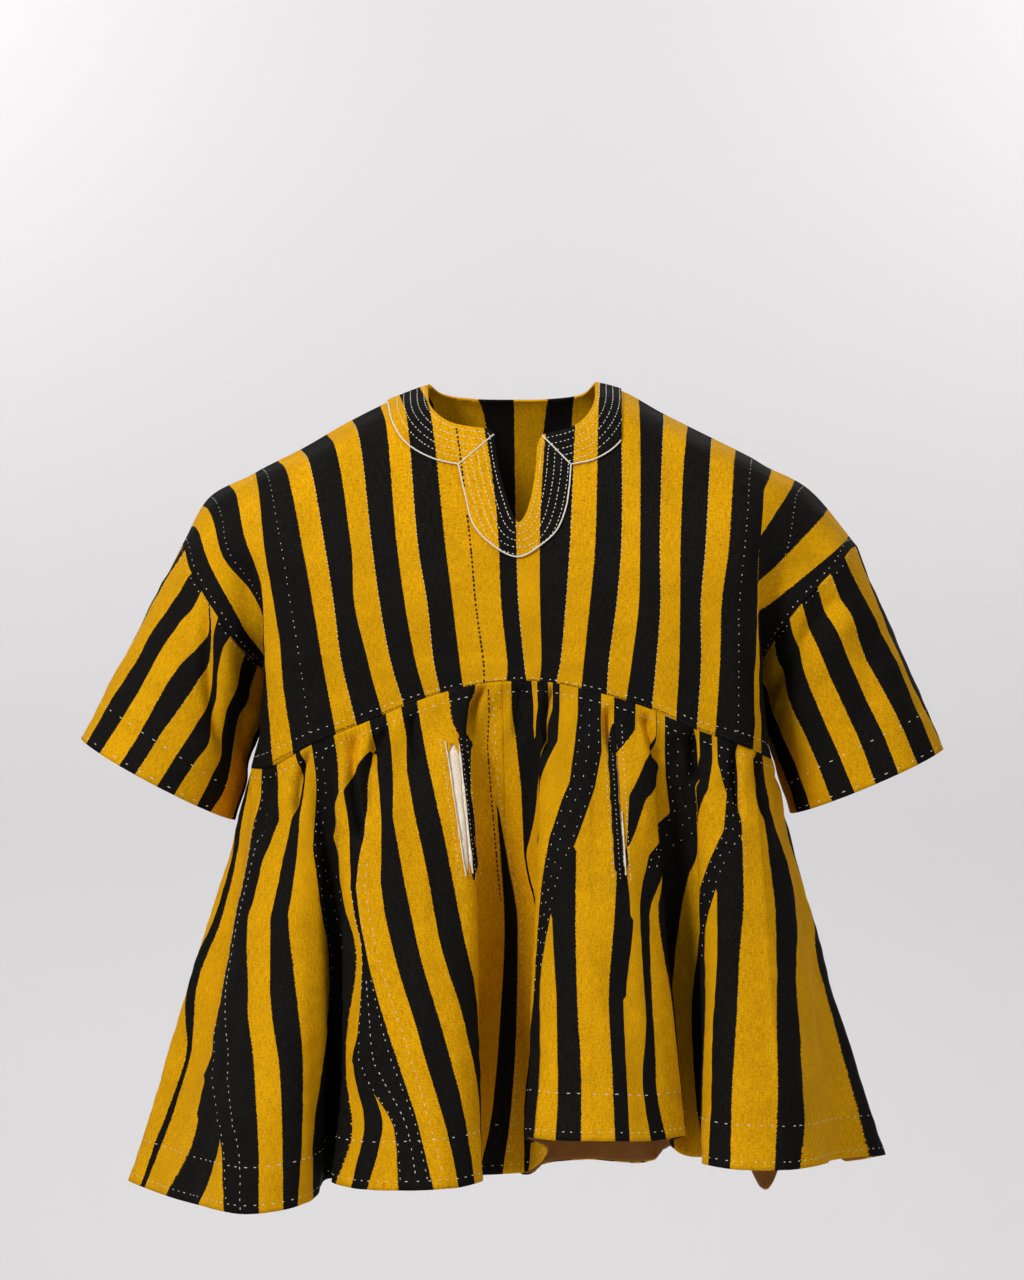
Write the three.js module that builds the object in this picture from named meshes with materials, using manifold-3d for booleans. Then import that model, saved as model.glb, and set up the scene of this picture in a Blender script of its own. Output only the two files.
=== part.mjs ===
// A men's fugu smock as it is worn: a wide yoke with drop shoulders, a quilted neck band with a slit,
// two straight sleeves and a flared skirt that is gathered into an arched seam.
// Millimetres. The origin lies between the two neck points, on the line of the shoulders.
// +Z is up, the front faces -Y, and left and right are the viewer's.
import * as THREE from "three";
import { mergeVertices } from "three/addons/utils/BufferGeometryUtils.js";
import Module from "manifold-3d";

const wasm = await Module();
wasm.setup();

// ---- Driving sizes ----
const CLOTH = 1.8; // two layers of handwoven strip cloth where they are quilted or faced
const FACING = 1.2; // the thin brown hem facing and the pocket bags
const SEAM_GAP = 0.3; // between any two pieces
const LAID_GAP = 0.35; // between a piece and the panel that it lies on
const FACED_GAP = 1.2; // between the hem facing and the hem, whose facets bend in their own ways
const FRONT_FALL = 0.2; // of the way from the shoulder line down to the chest, where the cloth turns down
const BACK_FALL = 0.09; // the same behind, where the upper back is fuller
const BACK_DEPTH = 0.92; // the back stands this share of the front's distance from the shoulder line
const SHOULDER_PLACE = 0.45; // of the way from the ridge to the chest across, where the cloth turns down
const SHOULDER_DEPTH = 0.58; // of the chest's depth, at the same place
const FACING_HEIGHT = 45; // up from the hem
const FACING_RISE = 1.5; // its lower edge over the hem's
const NECK_BAND_THICKNESS = 1.5;
const BEYOND = 400; // how far a cutting prism runs past the cloth
const THROUGH_NECK = 100; // how far the neck's prism runs past the shoulder line
const MERGE = 1e-4; // corners nearer than this are one

const YELLOW = 0xdea50a;
const BLACK = 0x1c1c19;
const BROWN = 0x966432;
const CREAM = 0xf0ddb8;
const WHITE = 0xf0ece0;

// ---- Tables ----
// A table's first row names its columns.
function rowsOf([names, ...rows]) {
  return rows.map((row) => Object.fromEntries(row.map((value, i) => [names[i], value])));
}

// The yoke's lines, one for each strip join, sleeve seam and armpit fold, from left to right.
// ridge: on the shoulder line. chest, under: in front of the arm. armpit and seam: lower down.
const CHEST_Z = -155;
const UNDER_Z = -210;
const ARMPIT_Z = -262;
const YOKE = rowsOf([
  ["line", "ridgeX", "ridgeZ", "chestX", "chestY", "chestZ", "underX", "underY", "underZ",
    "armpitX", "armpitY", "armpitZ", "seamX", "seamY", "seamZ"],
  ["sleeve_seam_left", -313, -151, -299, -72, -177, -260, -86, -238, -226, 0, -292, -243, 0, -364],
  ["cap_join_left", -287, -106, -262, -88, -160, -230, -84, -215, -229, -48, -288, -243, -50, -362],
  ["fold_left", -249, -86, -230, -110, CHEST_Z, -227, -117, UNDER_Z, -226, -112, ARMPIT_Z, -219, -105, -357],
  ["join_1", -237, -79, -211, -120, CHEST_Z, -202, -126, UNDER_Z, -193, -128, ARMPIT_Z, -182, -128, -337],
  ["join_2", -201, -61, -171, -118, CHEST_Z, -162, -128, UNDER_Z, -155, -131, ARMPIT_Z, -141, -133, -320],
  ["join_3", -152, -33, -128, -117, CHEST_Z, -120, -129, UNDER_Z, -110, -133, ARMPIT_Z, -98, -135, -302],
  ["join_4", -106, -11, -86, -115, CHEST_Z, -77, -128, UNDER_Z, -71, -133, ARMPIT_Z, -65, -136, -290],
  ["join_5", -68, 1, -38, -112, CHEST_Z, -33, -126, UNDER_Z, -26, -132, ARMPIT_Z, -25, -136, -281],
  ["join_6", 0, 4, 4, -110, CHEST_Z, 6, -125, UNDER_Z, 11, -132, ARMPIT_Z, 13, -136, -279],
  ["join_7", 65, 3, 53, -112, CHEST_Z, 49, -126, UNDER_Z, 44, -132, ARMPIT_Z, 40, -136, -281],
  ["join_8", 103, -5, 100, -115, CHEST_Z, 95, -128, UNDER_Z, 88, -133, ARMPIT_Z, 86, -135, -292],
  ["join_9", 144, -27, 135, -118, CHEST_Z, 135, -129, UNDER_Z, 131, -133, ARMPIT_Z, 127, -134, -305],
  ["join_10", 190, -50, 177, -118, CHEST_Z, 172, -128, UNDER_Z, 172, -130, ARMPIT_Z, 168, -132, -324],
  ["join_11", 228, -69, 213, -116, CHEST_Z, 208, -122, UNDER_Z, 206, -124, ARMPIT_Z, 205, -126, -336],
  ["fold_right", 241, -77, 228, -107, CHEST_Z, 227, -114, UNDER_Z, 228, -110, ARMPIT_Z, 229, -104, -346],
  ["cap_join_right", 281, -98, 256, -88, -161, 231, -84, -210, 230, -48, -286, 242, -48, -354],
  ["sleeve_seam_right", 328, -153, 306, -72, -176, 262, -86, -232, 229, 0, -292, 244, 0, -356],
]);
const CHEST_LEVEL = 2; // of ridge, shoulder, chest, under, armpit and seam
const ARMPIT_LEVEL = 4;
const RIDGE_TO_CHEST = 5; // steps of the grid
const CHEST_TO_ARMPIT = 3;
const PER_STRIP = 2;

// The front skirt's folds, from the left side seam to the right one.
// along: where the fold leaves the yoke, from the middle of the front along its lower edge.
const SKIRT_FRONT = rowsOf([
  ["fold", "along", "midX", "midY", "hemX", "hemY", "hemZ"],
  ["side_left", -330, -272, 4, -324, 36, -768],
  ["edge_left", -300, -298, -36, -356, -46, -748],
  ["crease_left", -285, -273, -66, -328, -94, -750],
  ["flare_1_left", -262, -258, -116, -282, -166, -749],
  ["flare_1_ridge", -240, -228, -156, -233, -218, -748],
  ["flare_1_right", -215, -196, -164, -193, -208, -744],
  ["flare_1_edge", -195, -171, -146, -176, -168, -741],
  ["valley_12", -182, -164, -108, -170, -108, -736],
  ["flare_2_under", -172, -152, -120, -153, -132, -731],
  ["flare_2_edge", -165, -152, -146, -161, -176, -727],
  ["flare_2_left", -150, -134, -166, -134, -217, -726],
  ["flare_2_ridge", -115, -87, -178, -85, -235, -724],
  ["flare_2_right", -75, -51, -172, -46, -226, -723],
  ["flare_2_fold", -39, -31, -155, -27, -196, -722],
  ["valley_23_under", -34, -40, -122, -44, -146, -728],
  ["valley_23_left", -28, -27, -98, -29, -104, -733],
  ["valley_23", -10, -6, -92, -9, -92, -734],
  ["valley_23_right", 8, 16, -98, 14, -100, -730],
  ["flare_3_under", 14, 29, -122, 30, -148, -704],
  ["flare_3_edge", 21, 21, -149, 10, -196, -684],
  ["flare_3_left", 40, 43, -170, 40, -230, -681],
  ["flare_3_ridge", 75, 79, -178, 81, -240, -680],
  ["flare_3_right", 105, 113, -168, 121, -226, -682],
  ["flare_3_fold", 122, 138, -146, 156, -184, -684],
  ["valley_34_under", 128, 136, -116, 143, -136, -698],
  ["valley_34", 142, 153, -95, 160, -98, -716],
  ["flare_4_under", 155, 173, -112, 181, -134, -712],
  ["flare_4_edge", 162, 171, -140, 170, -184, -709],
  ["flare_4_left", 185, 193, -163, 198, -216, -709],
  ["flare_4_ridge", 220, 234, -160, 244, -212, -710],
  ["flare_4_right", 250, 264, -128, 282, -166, -712],
  ["crease_right", 272, 274, -94, 297, -118, -716],
  ["edge_right", 300, 291, -46, 345, -60, -722],
  ["side_right", 330, 272, 6, 318, 32, -742],
]);

// The back skirt's flares, from the right side seam round to the left one.
// centre: the ridge's x at the hem; half: from the ridge to the flare's sides there.
const SKIRT_BACK = rowsOf([
  ["flare", "centre", "half", "reach", "valley", "hemZ", "valleyZ"],
  ["side_flare_right", 298, 36, 128, 66, -746, -778],
  ["flare_5", 194, 42, 196, 92, -750, -752],
  ["flare_6", 76, 46, 214, 96, -770, -766],
  ["flare_7", -52, 48, 218, 92, -768, -764],
  ["flare_8", -182, 44, 200, 84, -764, -768],
  ["side_flare_left", -296, 36, 132, 66, -766, -766],
]);

// Panels of the skirt, by the fold at which each one starts.
const PANELS = rowsOf([
  ["name", "from", "colour"],
  ["skirt_front_1", "side_left", YELLOW],
  ["skirt_front_2", "valley_12", BLACK],
  ["skirt_front_3", "valley_23", YELLOW],
  ["skirt_front_4", "valley_34", BLACK],
  ["skirt_back_1", "side_right", YELLOW],
  ["skirt_back_2", "flare_5_valley", BLACK],
  ["skirt_back_3", "flare_6_valley", YELLOW],
  ["skirt_back_4", "flare_7_valley", BLACK],
]);

// The gores let into the front flares: the tip and the two feet, past the hem.
const GORES = rowsOf([
  ["name", "panel", "tipX", "tipZ", "leftX", "rightX", "footZ", "behindY"],
  ["gore_1", "skirt_front_1", -258, -614, -310, -252, -780, -110],
  ["gore_2", "skirt_front_2", -123, -612, -143, -96, -760, -150],
  ["gore_3", "skirt_front_3", 26, -541, 17, 41, -720, -170],
  ["gore_4", "skirt_front_4", 183, -480, 168, 178, -740, -150],
]);

// Neck line, slit and band outlines in the X and Z of the front, from left to right.
const NECK_FRONT = [
  [-80, 2], [-77, -21], [-69, -32], [-57, -40], [-40, -44], [-21, -47], [-17, -51], [-13, -78],
  [-7, -103], [2, -129], [6, -134], [11, -129], [16, -116], [21, -90], [24, -60], [28, -52],
  [54, -45], [67, -36], [76, -21], [79, 3],
];
const NECK_BACK = [[-80, 2], [-68, -4], [-42, -8], [0, -9], [42, -8], [68, -4], [79, 3]];
const BAND_FRONT = [
  [-119, -16], [-111, -42], [-98, -61], [-74, -75], [-50, -81], [-43, -111], [-36, -136], [-22, -153],
  [5, -167], [28, -155], [42, -141], [50, -121], [53, -103], [55, -81], [79, -75], [100, -60],
  [111, -39], [119, -12],
];
const BAND_BACK = [[-119, -16], [-100, -31], [-62, -42], [0, -46], [62, -42], [100, -31], [119, -12]];
const OVER_NECK = 60; // the cutting outlines close this high over the shoulders
const ALL_ROUND = [[-600, -600], [600, -600], [600, 200], [-600, 200]]; // past the yoke on every side

// The sleeves: the cuff's outer and inner corners, and its half depth front to back.
const SLEEVES = rowsOf([
  ["name", "side", "outerX", "outerZ", "innerX", "innerZ", "halfDepth", "forward"],
  ["sleeve_left", -1, -407, -335, -262, -412, 80, -8],
  ["sleeve_right", 1, 408, -344, 263, -406, 80, -8],
]);

// The two pocket slits in the front skirt: their ends and half widths, the folds between which each
// bag hangs, and how far behind the skirt.
const SLITS = rowsOf([
  ["name", "panel", "topX", "topZ", "topHalf", "lowX", "lowZ", "lowHalf", "from", "to", "hung"],
  ["left", "skirt_front_2", -54, -334, 5.5, -39, -455, 2.5, 11, 13, 1.6],
  ["right", "skirt_front_3", 85, -320, 1.6, 103, -458, 1.6, 20.5, 22.5, 1.0],
]);
const WELT = 9; // the strip beside each slit
const WELT_END = 3; // past either end of the slit
const BAG_DROPS = [0.05, 0.1, 0.26, 0.45]; // the heights of a bag's rows, as shares of the skirt's drop
const SLIT_CUT = 3; // a slit is cut this far out of the cloth and into it

// ---- Curves ----
// A point of the smooth curve through the given ones; place counts them from 0.
function pointOn(points, place) {
  const curve = new THREE.CatmullRomCurve3(points, false, "centripetal");
  return curve.getPoint(place / (points.length - 1));
}

function steps(from, to, count) {
  return Array.from({ length: count + 1 }, (_, i) => from + ((to - from) * i) / count);
}

// ---- The yoke as a surface: line counts the table's rows, level the heights from the ridge down ----
// The back is the front turned over the shoulder line, a little shallower.
function yokeLine(row, face) {
  const depth = face < 0 ? 1 : BACK_DEPTH;
  const y = (value) => -face * value * depth;
  const shoulderX = row.ridgeX + (row.chestX - row.ridgeX) * SHOULDER_PLACE;
  const shoulderZ = row.ridgeZ - (row.ridgeZ - row.chestZ) * (face < 0 ? FRONT_FALL : BACK_FALL);
  return [
    new THREE.Vector3(row.ridgeX, (face * SEAM_GAP) / 2, row.ridgeZ),
    new THREE.Vector3(shoulderX, y(row.chestY * SHOULDER_DEPTH), shoulderZ),
    new THREE.Vector3(row.chestX, y(row.chestY), row.chestZ),
    new THREE.Vector3(row.underX, y(row.underY), row.underZ),
    new THREE.Vector3(row.armpitX, y(row.armpitY) + (face * SEAM_GAP) / 2, row.armpitZ),
    new THREE.Vector3(row.seamX, y(row.seamY) + (face * SEAM_GAP) / 2, row.seamZ),
  ];
}

function yokeRow(level, face) {
  return YOKE.map((row) => pointOn(yokeLine(row, face), level));
}

function yokeGrid(face) {
  const toChest = steps(0, CHEST_LEVEL, RIDGE_TO_CHEST);
  const toArmpit = steps(CHEST_LEVEL, ARMPIT_LEVEL, CHEST_TO_ARMPIT).slice(1);
  const levels = [...toChest, ...toArmpit, ARMPIT_LEVEL + 1];
  const lines = steps(0, YOKE.length - 1, (YOKE.length - 1) * PER_STRIP);
  return levels.map((level) => {
    const row = yokeRow(level, face);
    return lines.map((line) => pointOn(row, line));
  });
}

// ---- The yoke's lower edge, as the grid has it, and places along it ----
const FRONT = yokeGrid(-1);
const BACK = yokeGrid(1);

function lengthsOf(points) {
  const lengths = [0];
  for (let i = 1; i < points.length; i += 1) {
    lengths.push(lengths[i - 1] + points[i].distanceTo(points[i - 1]));
  }
  return lengths;
}

// share runs from 0 at the left side seam to 1 at the right one.
function onEdge(points, share) {
  const lengths = lengthsOf(points);
  const wanted = share * lengths[lengths.length - 1];
  const next = Math.max(1, lengths.findIndex((length) => length >= wanted - MERGE));
  const part = (wanted - lengths[next - 1]) / (lengths[next] - lengths[next - 1]);
  return points[next - 1].clone().lerp(points[next], part);
}

// ---- The skirt as a surface: place counts the folds round it, drop runs from 0 at the seam to 1 ----
const HALF_EDGE = 330; // the table's distance from the middle of the front to either side seam
const MID_SHARE = 0.5; // a fold's middle point, as a share of its drop
const BACK_MID_REACH = 0.42; // a back fold's middle stands this share of the way out to its hem
const AT_SEAM = 0.4; // a flare's half width at the seam, as a share of its pitch there
const AT_HEM = 1.12; // the same at the hem, as a share of the table's half width
const FLARE_FOLDS = rowsOf([
  ["side", "reach"],
  [-0.72, 0.82],
  [0, 1],
  [0.72, 0.82],
]);

function backFolds() {
  const folds = [];
  const total = SKIRT_BACK.length;
  SKIRT_BACK.forEach((row, i) => {
    const next = SKIRT_BACK[i + 1];
    FLARE_FOLDS.forEach(({ side, reach }, k) => {
      folds.push({
        fold: `${row.flare}_${k}`,
        share: 1 - (i + 0.5 + side * AT_SEAM) / total,
        hemX: row.centre - side * row.half * AT_HEM,
        hemY: row.valley + (row.reach - row.valley) * reach,
        hemZ: row.hemZ,
      });
    });
    if (next) {
      folds.push({
        fold: `${row.flare}_valley`,
        share: 1 - (i + 1) / total,
        hemX: (row.centre - row.half + next.centre + next.half) / 2,
        hemY: (row.valley + next.valley) / 2,
        hemZ: row.valleyZ,
      });
    }
  });
  return folds;
}

// A fold runs from the seam through its middle point to the hem.
const RING = [];
for (const row of SKIRT_FRONT) {
  const seam = onEdge(FRONT[FRONT.length - 1], (row.along + HALF_EDGE) / (2 * HALF_EDGE));
  const hem = new THREE.Vector3(row.hemX, row.hemY, row.hemZ);
  const mid = new THREE.Vector3(row.midX, row.midY, seam.z + (hem.z - seam.z) * MID_SHARE);
  RING.push({ fold: row.fold, seam, mid, hem });
}
for (const row of backFolds()) {
  const seam = onEdge(BACK[BACK.length - 1], row.share);
  const hem = new THREE.Vector3(row.hemX, row.hemY, row.hemZ);
  const mid = seam.clone().lerp(hem, MID_SHARE);
  mid.y = seam.y + (hem.y - seam.y) * BACK_MID_REACH;
  RING.push({ fold: row.fold, seam, mid, hem });
}

function foldPlace(name) {
  return RING.findIndex((row) => row.fold === name);
}

function foldPoint(row, drop) {
  const a = 2 * (drop - 0.5) * (drop - 1);
  const b = 4 * drop * (1 - drop);
  const c = 2 * drop * (drop - 0.5);
  return new THREE.Vector3()
    .addScaledVector(row.seam, a)
    .addScaledVector(row.mid, b)
    .addScaledVector(row.hem, c);
}

// All round the skirt at one height, as a closed smooth curve.
function ringAt(drop) {
  const points = RING.map((row) => foldPoint(row, drop));
  return new THREE.CatmullRomCurve3(points, true, "centripetal");
}

function skirtRow(drop, places) {
  const ring = ringAt(drop);
  return places.map((place) => ring.getPoint((((place / RING.length) % 1) + 1) % 1));
}

// ---- Walls ----
// The normal of a grid of points, out of the cloth; a closed grid joins its last column to its first.
function normalsOf(grid, closed) {
  const rows = grid.length;
  const columns = grid[0].length;
  const at = (r, c) => {
    const column = closed ? (c + columns) % columns : Math.min(Math.max(c, 0), columns - 1);
    return grid[Math.min(Math.max(r, 0), rows - 1)][column];
  };
  const way = (before, here, after) => {
    const arriving = here.clone().sub(before).normalize();
    return after.clone().sub(here).normalize().add(arriving);
  };
  return grid.map((row, r) =>
    row.map((here, c) => {
      const across = way(at(r, c - 1), here, at(r, c + 1));
      const down = way(at(r - 1, c), here, at(r + 1, c));
      return down.cross(across).normalize();
    }),
  );
}

function moved(grid, normals, distance) {
  return grid.map((row, r) => row.map((p, c) => p.clone().addScaledVector(normals[r][c], distance)));
}

// A closed wall between two grids of the same size, the first one outside.
function wallGeometry(outer, inner, closed) {
  const rows = outer.length;
  const columns = outer[0].length;
  const positions = [];
  for (const grid of [outer, inner]) {
    for (const row of grid) {
      for (const p of row) positions.push(p.x, p.y, p.z);
    }
  }
  const index = (layer, r, c) => (layer * rows + r) * columns + (c % columns);
  const faces = [];
  const quad = (a, b, c, d) => faces.push(a, b, c, a, c, d);
  const last = closed ? columns : columns - 1;
  for (let r = 0; r < rows - 1; r += 1) {
    for (let c = 0; c < last; c += 1) {
      quad(index(0, r, c), index(0, r + 1, c), index(0, r + 1, c + 1), index(0, r, c + 1));
      quad(index(1, r, c), index(1, r, c + 1), index(1, r + 1, c + 1), index(1, r + 1, c));
    }
  }
  for (let c = 0; c < last; c += 1) {
    quad(index(0, 0, c), index(0, 0, c + 1), index(1, 0, c + 1), index(1, 0, c));
    const r = rows - 1;
    quad(index(0, r, c), index(1, r, c), index(1, r, c + 1), index(0, r, c + 1));
  }
  if (!closed) {
    const c = columns - 1;
    for (let r = 0; r < rows - 1; r += 1) {
      quad(index(0, r, 0), index(1, r, 0), index(1, r + 1, 0), index(0, r + 1, 0));
      quad(index(0, r, c), index(0, r + 1, c), index(1, r + 1, c), index(1, r, c));
    }
  }
  const geometry = new THREE.BufferGeometry();
  geometry.setAttribute("position", new THREE.Float32BufferAttribute(positions, 3));
  geometry.setIndex(faces);
  return geometry;
}

// A wall whose two faces lie at the given distances from the grid, out being positive.
function wall(grid, outside, inside, closed = false) {
  const normals = normalsOf(grid, closed);
  return wallGeometry(moved(grid, normals, outside), moved(grid, normals, inside), closed);
}

// ---- Cutting ----
function solid(geometry) {
  const bare = new THREE.BufferGeometry();
  bare.setAttribute("position", geometry.getAttribute("position"));
  bare.setIndex(geometry.getIndex());
  const merged = mergeVertices(bare, MERGE);
  return new wasm.Manifold(
    new wasm.Mesh({
      numProp: 3,
      vertProperties: new Float32Array(merged.getAttribute("position").array),
      triVerts: new Uint32Array(merged.getIndex().array),
    }),
  );
}

function geometryOf(manifold) {
  const bodies = manifold.decompose().sort((a, b) => b.volume() - a.volume());
  const mesh = bodies[0].getMesh();
  const geometry = new THREE.BufferGeometry();
  geometry.setAttribute("position", new THREE.Float32BufferAttribute(mesh.vertProperties, 3));
  geometry.setIndex(Array.from(mesh.triVerts));
  return geometry;
}

// A prism through the cloth along Y, from an outline in X and Z.
function prism(outline, fromY, toY) {
  const shape = new THREE.Shape(outline.map(([x, z]) => new THREE.Vector2(x, z)));
  const geometry = new THREE.ExtrudeGeometry(shape, { depth: toY - fromY, bevelEnabled: false });
  geometry.rotateX(Math.PI / 2);
  geometry.translate(0, toY, 0);
  geometry.deleteAttribute("normal");
  geometry.deleteAttribute("uv");
  return solid(mergeVertices(geometry, MERGE));
}

function overNeck(outline) {
  return [...outline, [outline[outline.length - 1][0], OVER_NECK], [outline[0][0], OVER_NECK]];
}

const group = new THREE.Group();

function add(name, colour, geometry) {
  const material = new THREE.MeshStandardMaterial({ color: colour, roughness: 0.9, metalness: 0 });
  const mesh = new THREE.Mesh(geometry, material);
  mesh.name = name;
  geometry.computeVertexNormals();
  group.add(mesh);
}

// ---- Yoke and neck band ----
const yokeCloth = [];
for (const face of [-1, 1]) {
  const front = face < 0;
  const grid = (front ? FRONT : BACK).map((row) => (front ? row : row.slice().reverse()));
  const through = front ? [-BEYOND, THROUGH_NECK] : [-THROUGH_NECK, BEYOND];
  const neck = prism(overNeck(front ? NECK_FRONT : NECK_BACK), ...through);
  const band = prism(overNeck(front ? BAND_FRONT : BAND_BACK), ...through);
  const halves = front ? [-BEYOND, -SEAM_GAP / 2] : [SEAM_GAP / 2, BEYOND];
  const half = prism(ALL_ROUND, ...halves);
  const cloth = solid(wall(grid, 0, -CLOTH)).intersect(half).subtract(neck);
  const laid = solid(wall(grid, LAID_GAP + NECK_BAND_THICKNESS, LAID_GAP)).intersect(half);
  yokeCloth.push(cloth);
  add(front ? "front_yoke" : "back_yoke", front ? YELLOW : BLACK, geometryOf(cloth));
  const place = front ? "neck_band_front" : "neck_band_back";
  add(place, WHITE, geometryOf(laid.intersect(band).subtract(neck)));
}

// ---- Sleeves ----
const SLEEVE_RINGS = 4;
const SLEEVE_GAP = 1.4; // along the sleeve, so that the two slanting edges stay clear of each other
const SLEEVE_STEPS = 10; // from the shoulder to the armpit, on each face

for (const row of SLEEVES) {
  const line = row.side < 0 ? 0 : YOKE.length - 1;
  const levels = steps(0, ARMPIT_LEVEL, SLEEVE_STEPS);
  const frontEdge = levels.map((level) => pointOn(yokeLine(YOKE[line], -1), level));
  const backEdge = levels.map((level) => pointOn(yokeLine(YOKE[line], 1), level));
  const armhole = [...frontEdge.slice(1, -1), ...backEdge.slice(1, -1).reverse()];
  armhole.unshift(frontEdge[0].clone().setY(0));
  armhole.splice(SLEEVE_STEPS, 0, frontEdge[SLEEVE_STEPS].clone().setY(0));
  const outer = new THREE.Vector3(row.outerX, row.forward, row.outerZ);
  const inner = new THREE.Vector3(row.innerX, row.forward, row.innerZ);
  const centre = outer.clone().add(inner).multiplyScalar(0.5);
  const half = outer.clone().sub(inner).multiplyScalar(0.5);
  const cuff = armhole.map((_, i) => {
    const turn = (i / armhole.length) * 2 * Math.PI;
    const p = centre.clone().addScaledVector(half, Math.cos(turn));
    p.y -= Math.sin(turn) * row.halfDepth;
    return p;
  });
  const grid = steps(0, 1, SLEEVE_RINGS).map((drop, r) =>
    armhole.map((from, i) => {
      const way = cuff[i].clone().sub(from);
      const start = r === 0 ? SLEEVE_GAP / way.length() : drop;
      return from.clone().addScaledVector(way, start);
    }),
  );
  const faced = row.side < 0 ? grid : grid.map((ring) => ring.slice().reverse());
  let tube = solid(wall(faced, 0, -CLOTH, true));
  for (const cloth of yokeCloth) {
    tube = tube.subtract(cloth).subtract(cloth.translate([row.side * SEAM_GAP, 0, -SEAM_GAP]));
  }
  add(row.name, BLACK, geometryOf(tube));
}

// ---- Skirt ----
const DROPS = [0, 0.1, 0.26, 0.45, 0.65, 0.84, 1];
const PER_FOLD = 2;
const SKIRT_GAP = 1.2; // under the yoke's edge, whose corners the skirt's own edge cuts

const ringPlaces = steps(0, RING.length, RING.length * PER_FOLD).slice(0, -1);
const ringGrid = DROPS.map((drop) => skirtRow(drop, ringPlaces));
ringGrid[0].forEach((p) => (p.z -= SKIRT_GAP));
const ringNormals = normalsOf(ringGrid, true);

// The columns of the ring between two folds, of points or of normals.
function between(rows, from, to) {
  const columns = steps(from * PER_FOLD, to * PER_FOLD, Math.round((to - from) * PER_FOLD));
  return rows.map((row) => columns.map((c) => row[c % row.length].clone()));
}

// The skirt's wall between two folds, short of its neighbours by half a seam gap.
function panelWall(from, to) {
  const normals = between(ringNormals, from, to);
  const points = between(ringGrid, from, to);
  for (const row of points) {
    const end = row.length - 1;
    const first = row[0].distanceTo(row[1]);
    const last = row[end].distanceTo(row[end - 1]);
    row[0].lerp(row[1], SEAM_GAP / 2 / first);
    row[end].lerp(row[end - 1], SEAM_GAP / 2 / last);
  }
  return wallGeometry(points, moved(points, normals, -CLOTH), false);
}

const panels = new Map();
PANELS.forEach((panel, i) => {
  const from = foldPlace(panel.from);
  const to = i + 1 < PANELS.length ? foldPlace(PANELS[i + 1].from) : RING.length;
  panels.set(panel.name, solid(panelWall(from, to)));
});

for (const gore of GORES) {
  const halfFoot = (gore.rightX - gore.leftX) / 2;
  const triangle = (grow) => [
    [
      gore.tipX + (grow * (gore.tipX - gore.leftX - halfFoot)) / halfFoot,
      gore.tipZ + (grow * (gore.tipZ - gore.footZ)) / halfFoot,
    ],
    [gore.leftX - grow, gore.footZ],
    [gore.rightX + grow, gore.footZ],
  ];
  const panel = panels.get(gore.panel);
  const piece = panel.intersect(prism(triangle(0), -BEYOND, gore.behindY));
  panels.set(gore.panel, panel.subtract(prism(triangle(SEAM_GAP), -BEYOND, gore.behindY + SEAM_GAP)));
  add(gore.name, YELLOW, geometryOf(piece));
}

// ---- Pockets: a slit, the layer of the bag that lies behind it, and a narrow welt beside it ----
// The ring's own points and normals, part way between two of its rows.
function patch(places, drops) {
  const pick = (grid) =>
    drops.map((drop) => {
      const next = Math.max(1, DROPS.findIndex((d) => d >= drop));
      const share = (drop - DROPS[next - 1]) / (DROPS[next] - DROPS[next - 1]);
      return places.map((place) => {
        const c = Math.floor(place * PER_FOLD);
        const part = place * PER_FOLD - c;
        const high = grid[next - 1][c].clone().lerp(grid[next - 1][c + 1], part);
        return high.lerp(grid[next][c].clone().lerp(grid[next][c + 1], part), share);
      });
    });
  return { points: pick(ringGrid), normals: pick(ringNormals) };
}

function patchWall({ points, normals }, outside, inside) {
  return solid(wallGeometry(moved(points, normals, outside), moved(points, normals, inside), false));
}

for (const slit of SLITS) {
  const places = steps(slit.from, slit.to, (slit.to - slit.from) * PER_FOLD);
  const cloth = patch(places, BAG_DROPS);
  const edge = (left, right, width, grow) => [
    [slit.topX + left * slit.topHalf, slit.topZ + grow],
    [slit.lowX + left * slit.lowHalf, slit.lowZ - grow],
    [slit.lowX + right * slit.lowHalf + width, slit.lowZ - grow],
    [slit.topX + right * slit.topHalf + width, slit.topZ + grow],
  ];
  const hole = prism(edge(-1, 1, 0, 0), -BEYOND, 0).intersect(patchWall(cloth, SLIT_CUT, -SLIT_CUT));
  panels.set(slit.panel, panels.get(slit.panel).subtract(hole));
  const behind = -CLOTH - slit.hung;
  add(`pocket_bag_${slit.name}`, CREAM, geometryOf(patchWall(cloth, behind, behind - FACING)));
  const strip = prism(edge(1, 1, WELT, WELT_END), -BEYOND, 0);
  const laid = patchWall(cloth, LAID_GAP + FACING, LAID_GAP);
  add(`pocket_welt_${slit.name}`, BLACK, geometryOf(laid.intersect(strip)));
}

for (const panel of PANELS) {
  add(panel.name, panel.colour, geometryOf(panels.get(panel.name)));
}

// ---- Hem facing: one ring inside the hem, made from the skirt's last two rows ----
const hemRow = DROPS.length - 1;
const facingRows = [FACING_RISE + FACING_HEIGHT, FACING_RISE].map((rise) =>
  ringGrid[hemRow].map((p, i) => {
    const up = ringGrid[hemRow - 1][i].clone().sub(p);
    return { point: p.clone().addScaledVector(up, rise / up.length()), share: rise / up.length() };
  }),
);
const facingNormals = facingRows.map((row) =>
  row.map(({ share }, i) => ringNormals[hemRow][i].clone().lerp(ringNormals[hemRow - 1][i], share)),
);
const facingGrid = facingRows.map((row) => row.map(({ point }) => point));
const facingOut = moved(facingGrid, facingNormals, -CLOTH - FACED_GAP);
const facingIn = moved(facingGrid, facingNormals, -CLOTH - FACED_GAP - FACING);
add("hem_facing", BROWN, wallGeometry(facingOut, facingIn, true));

export default group;
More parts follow.
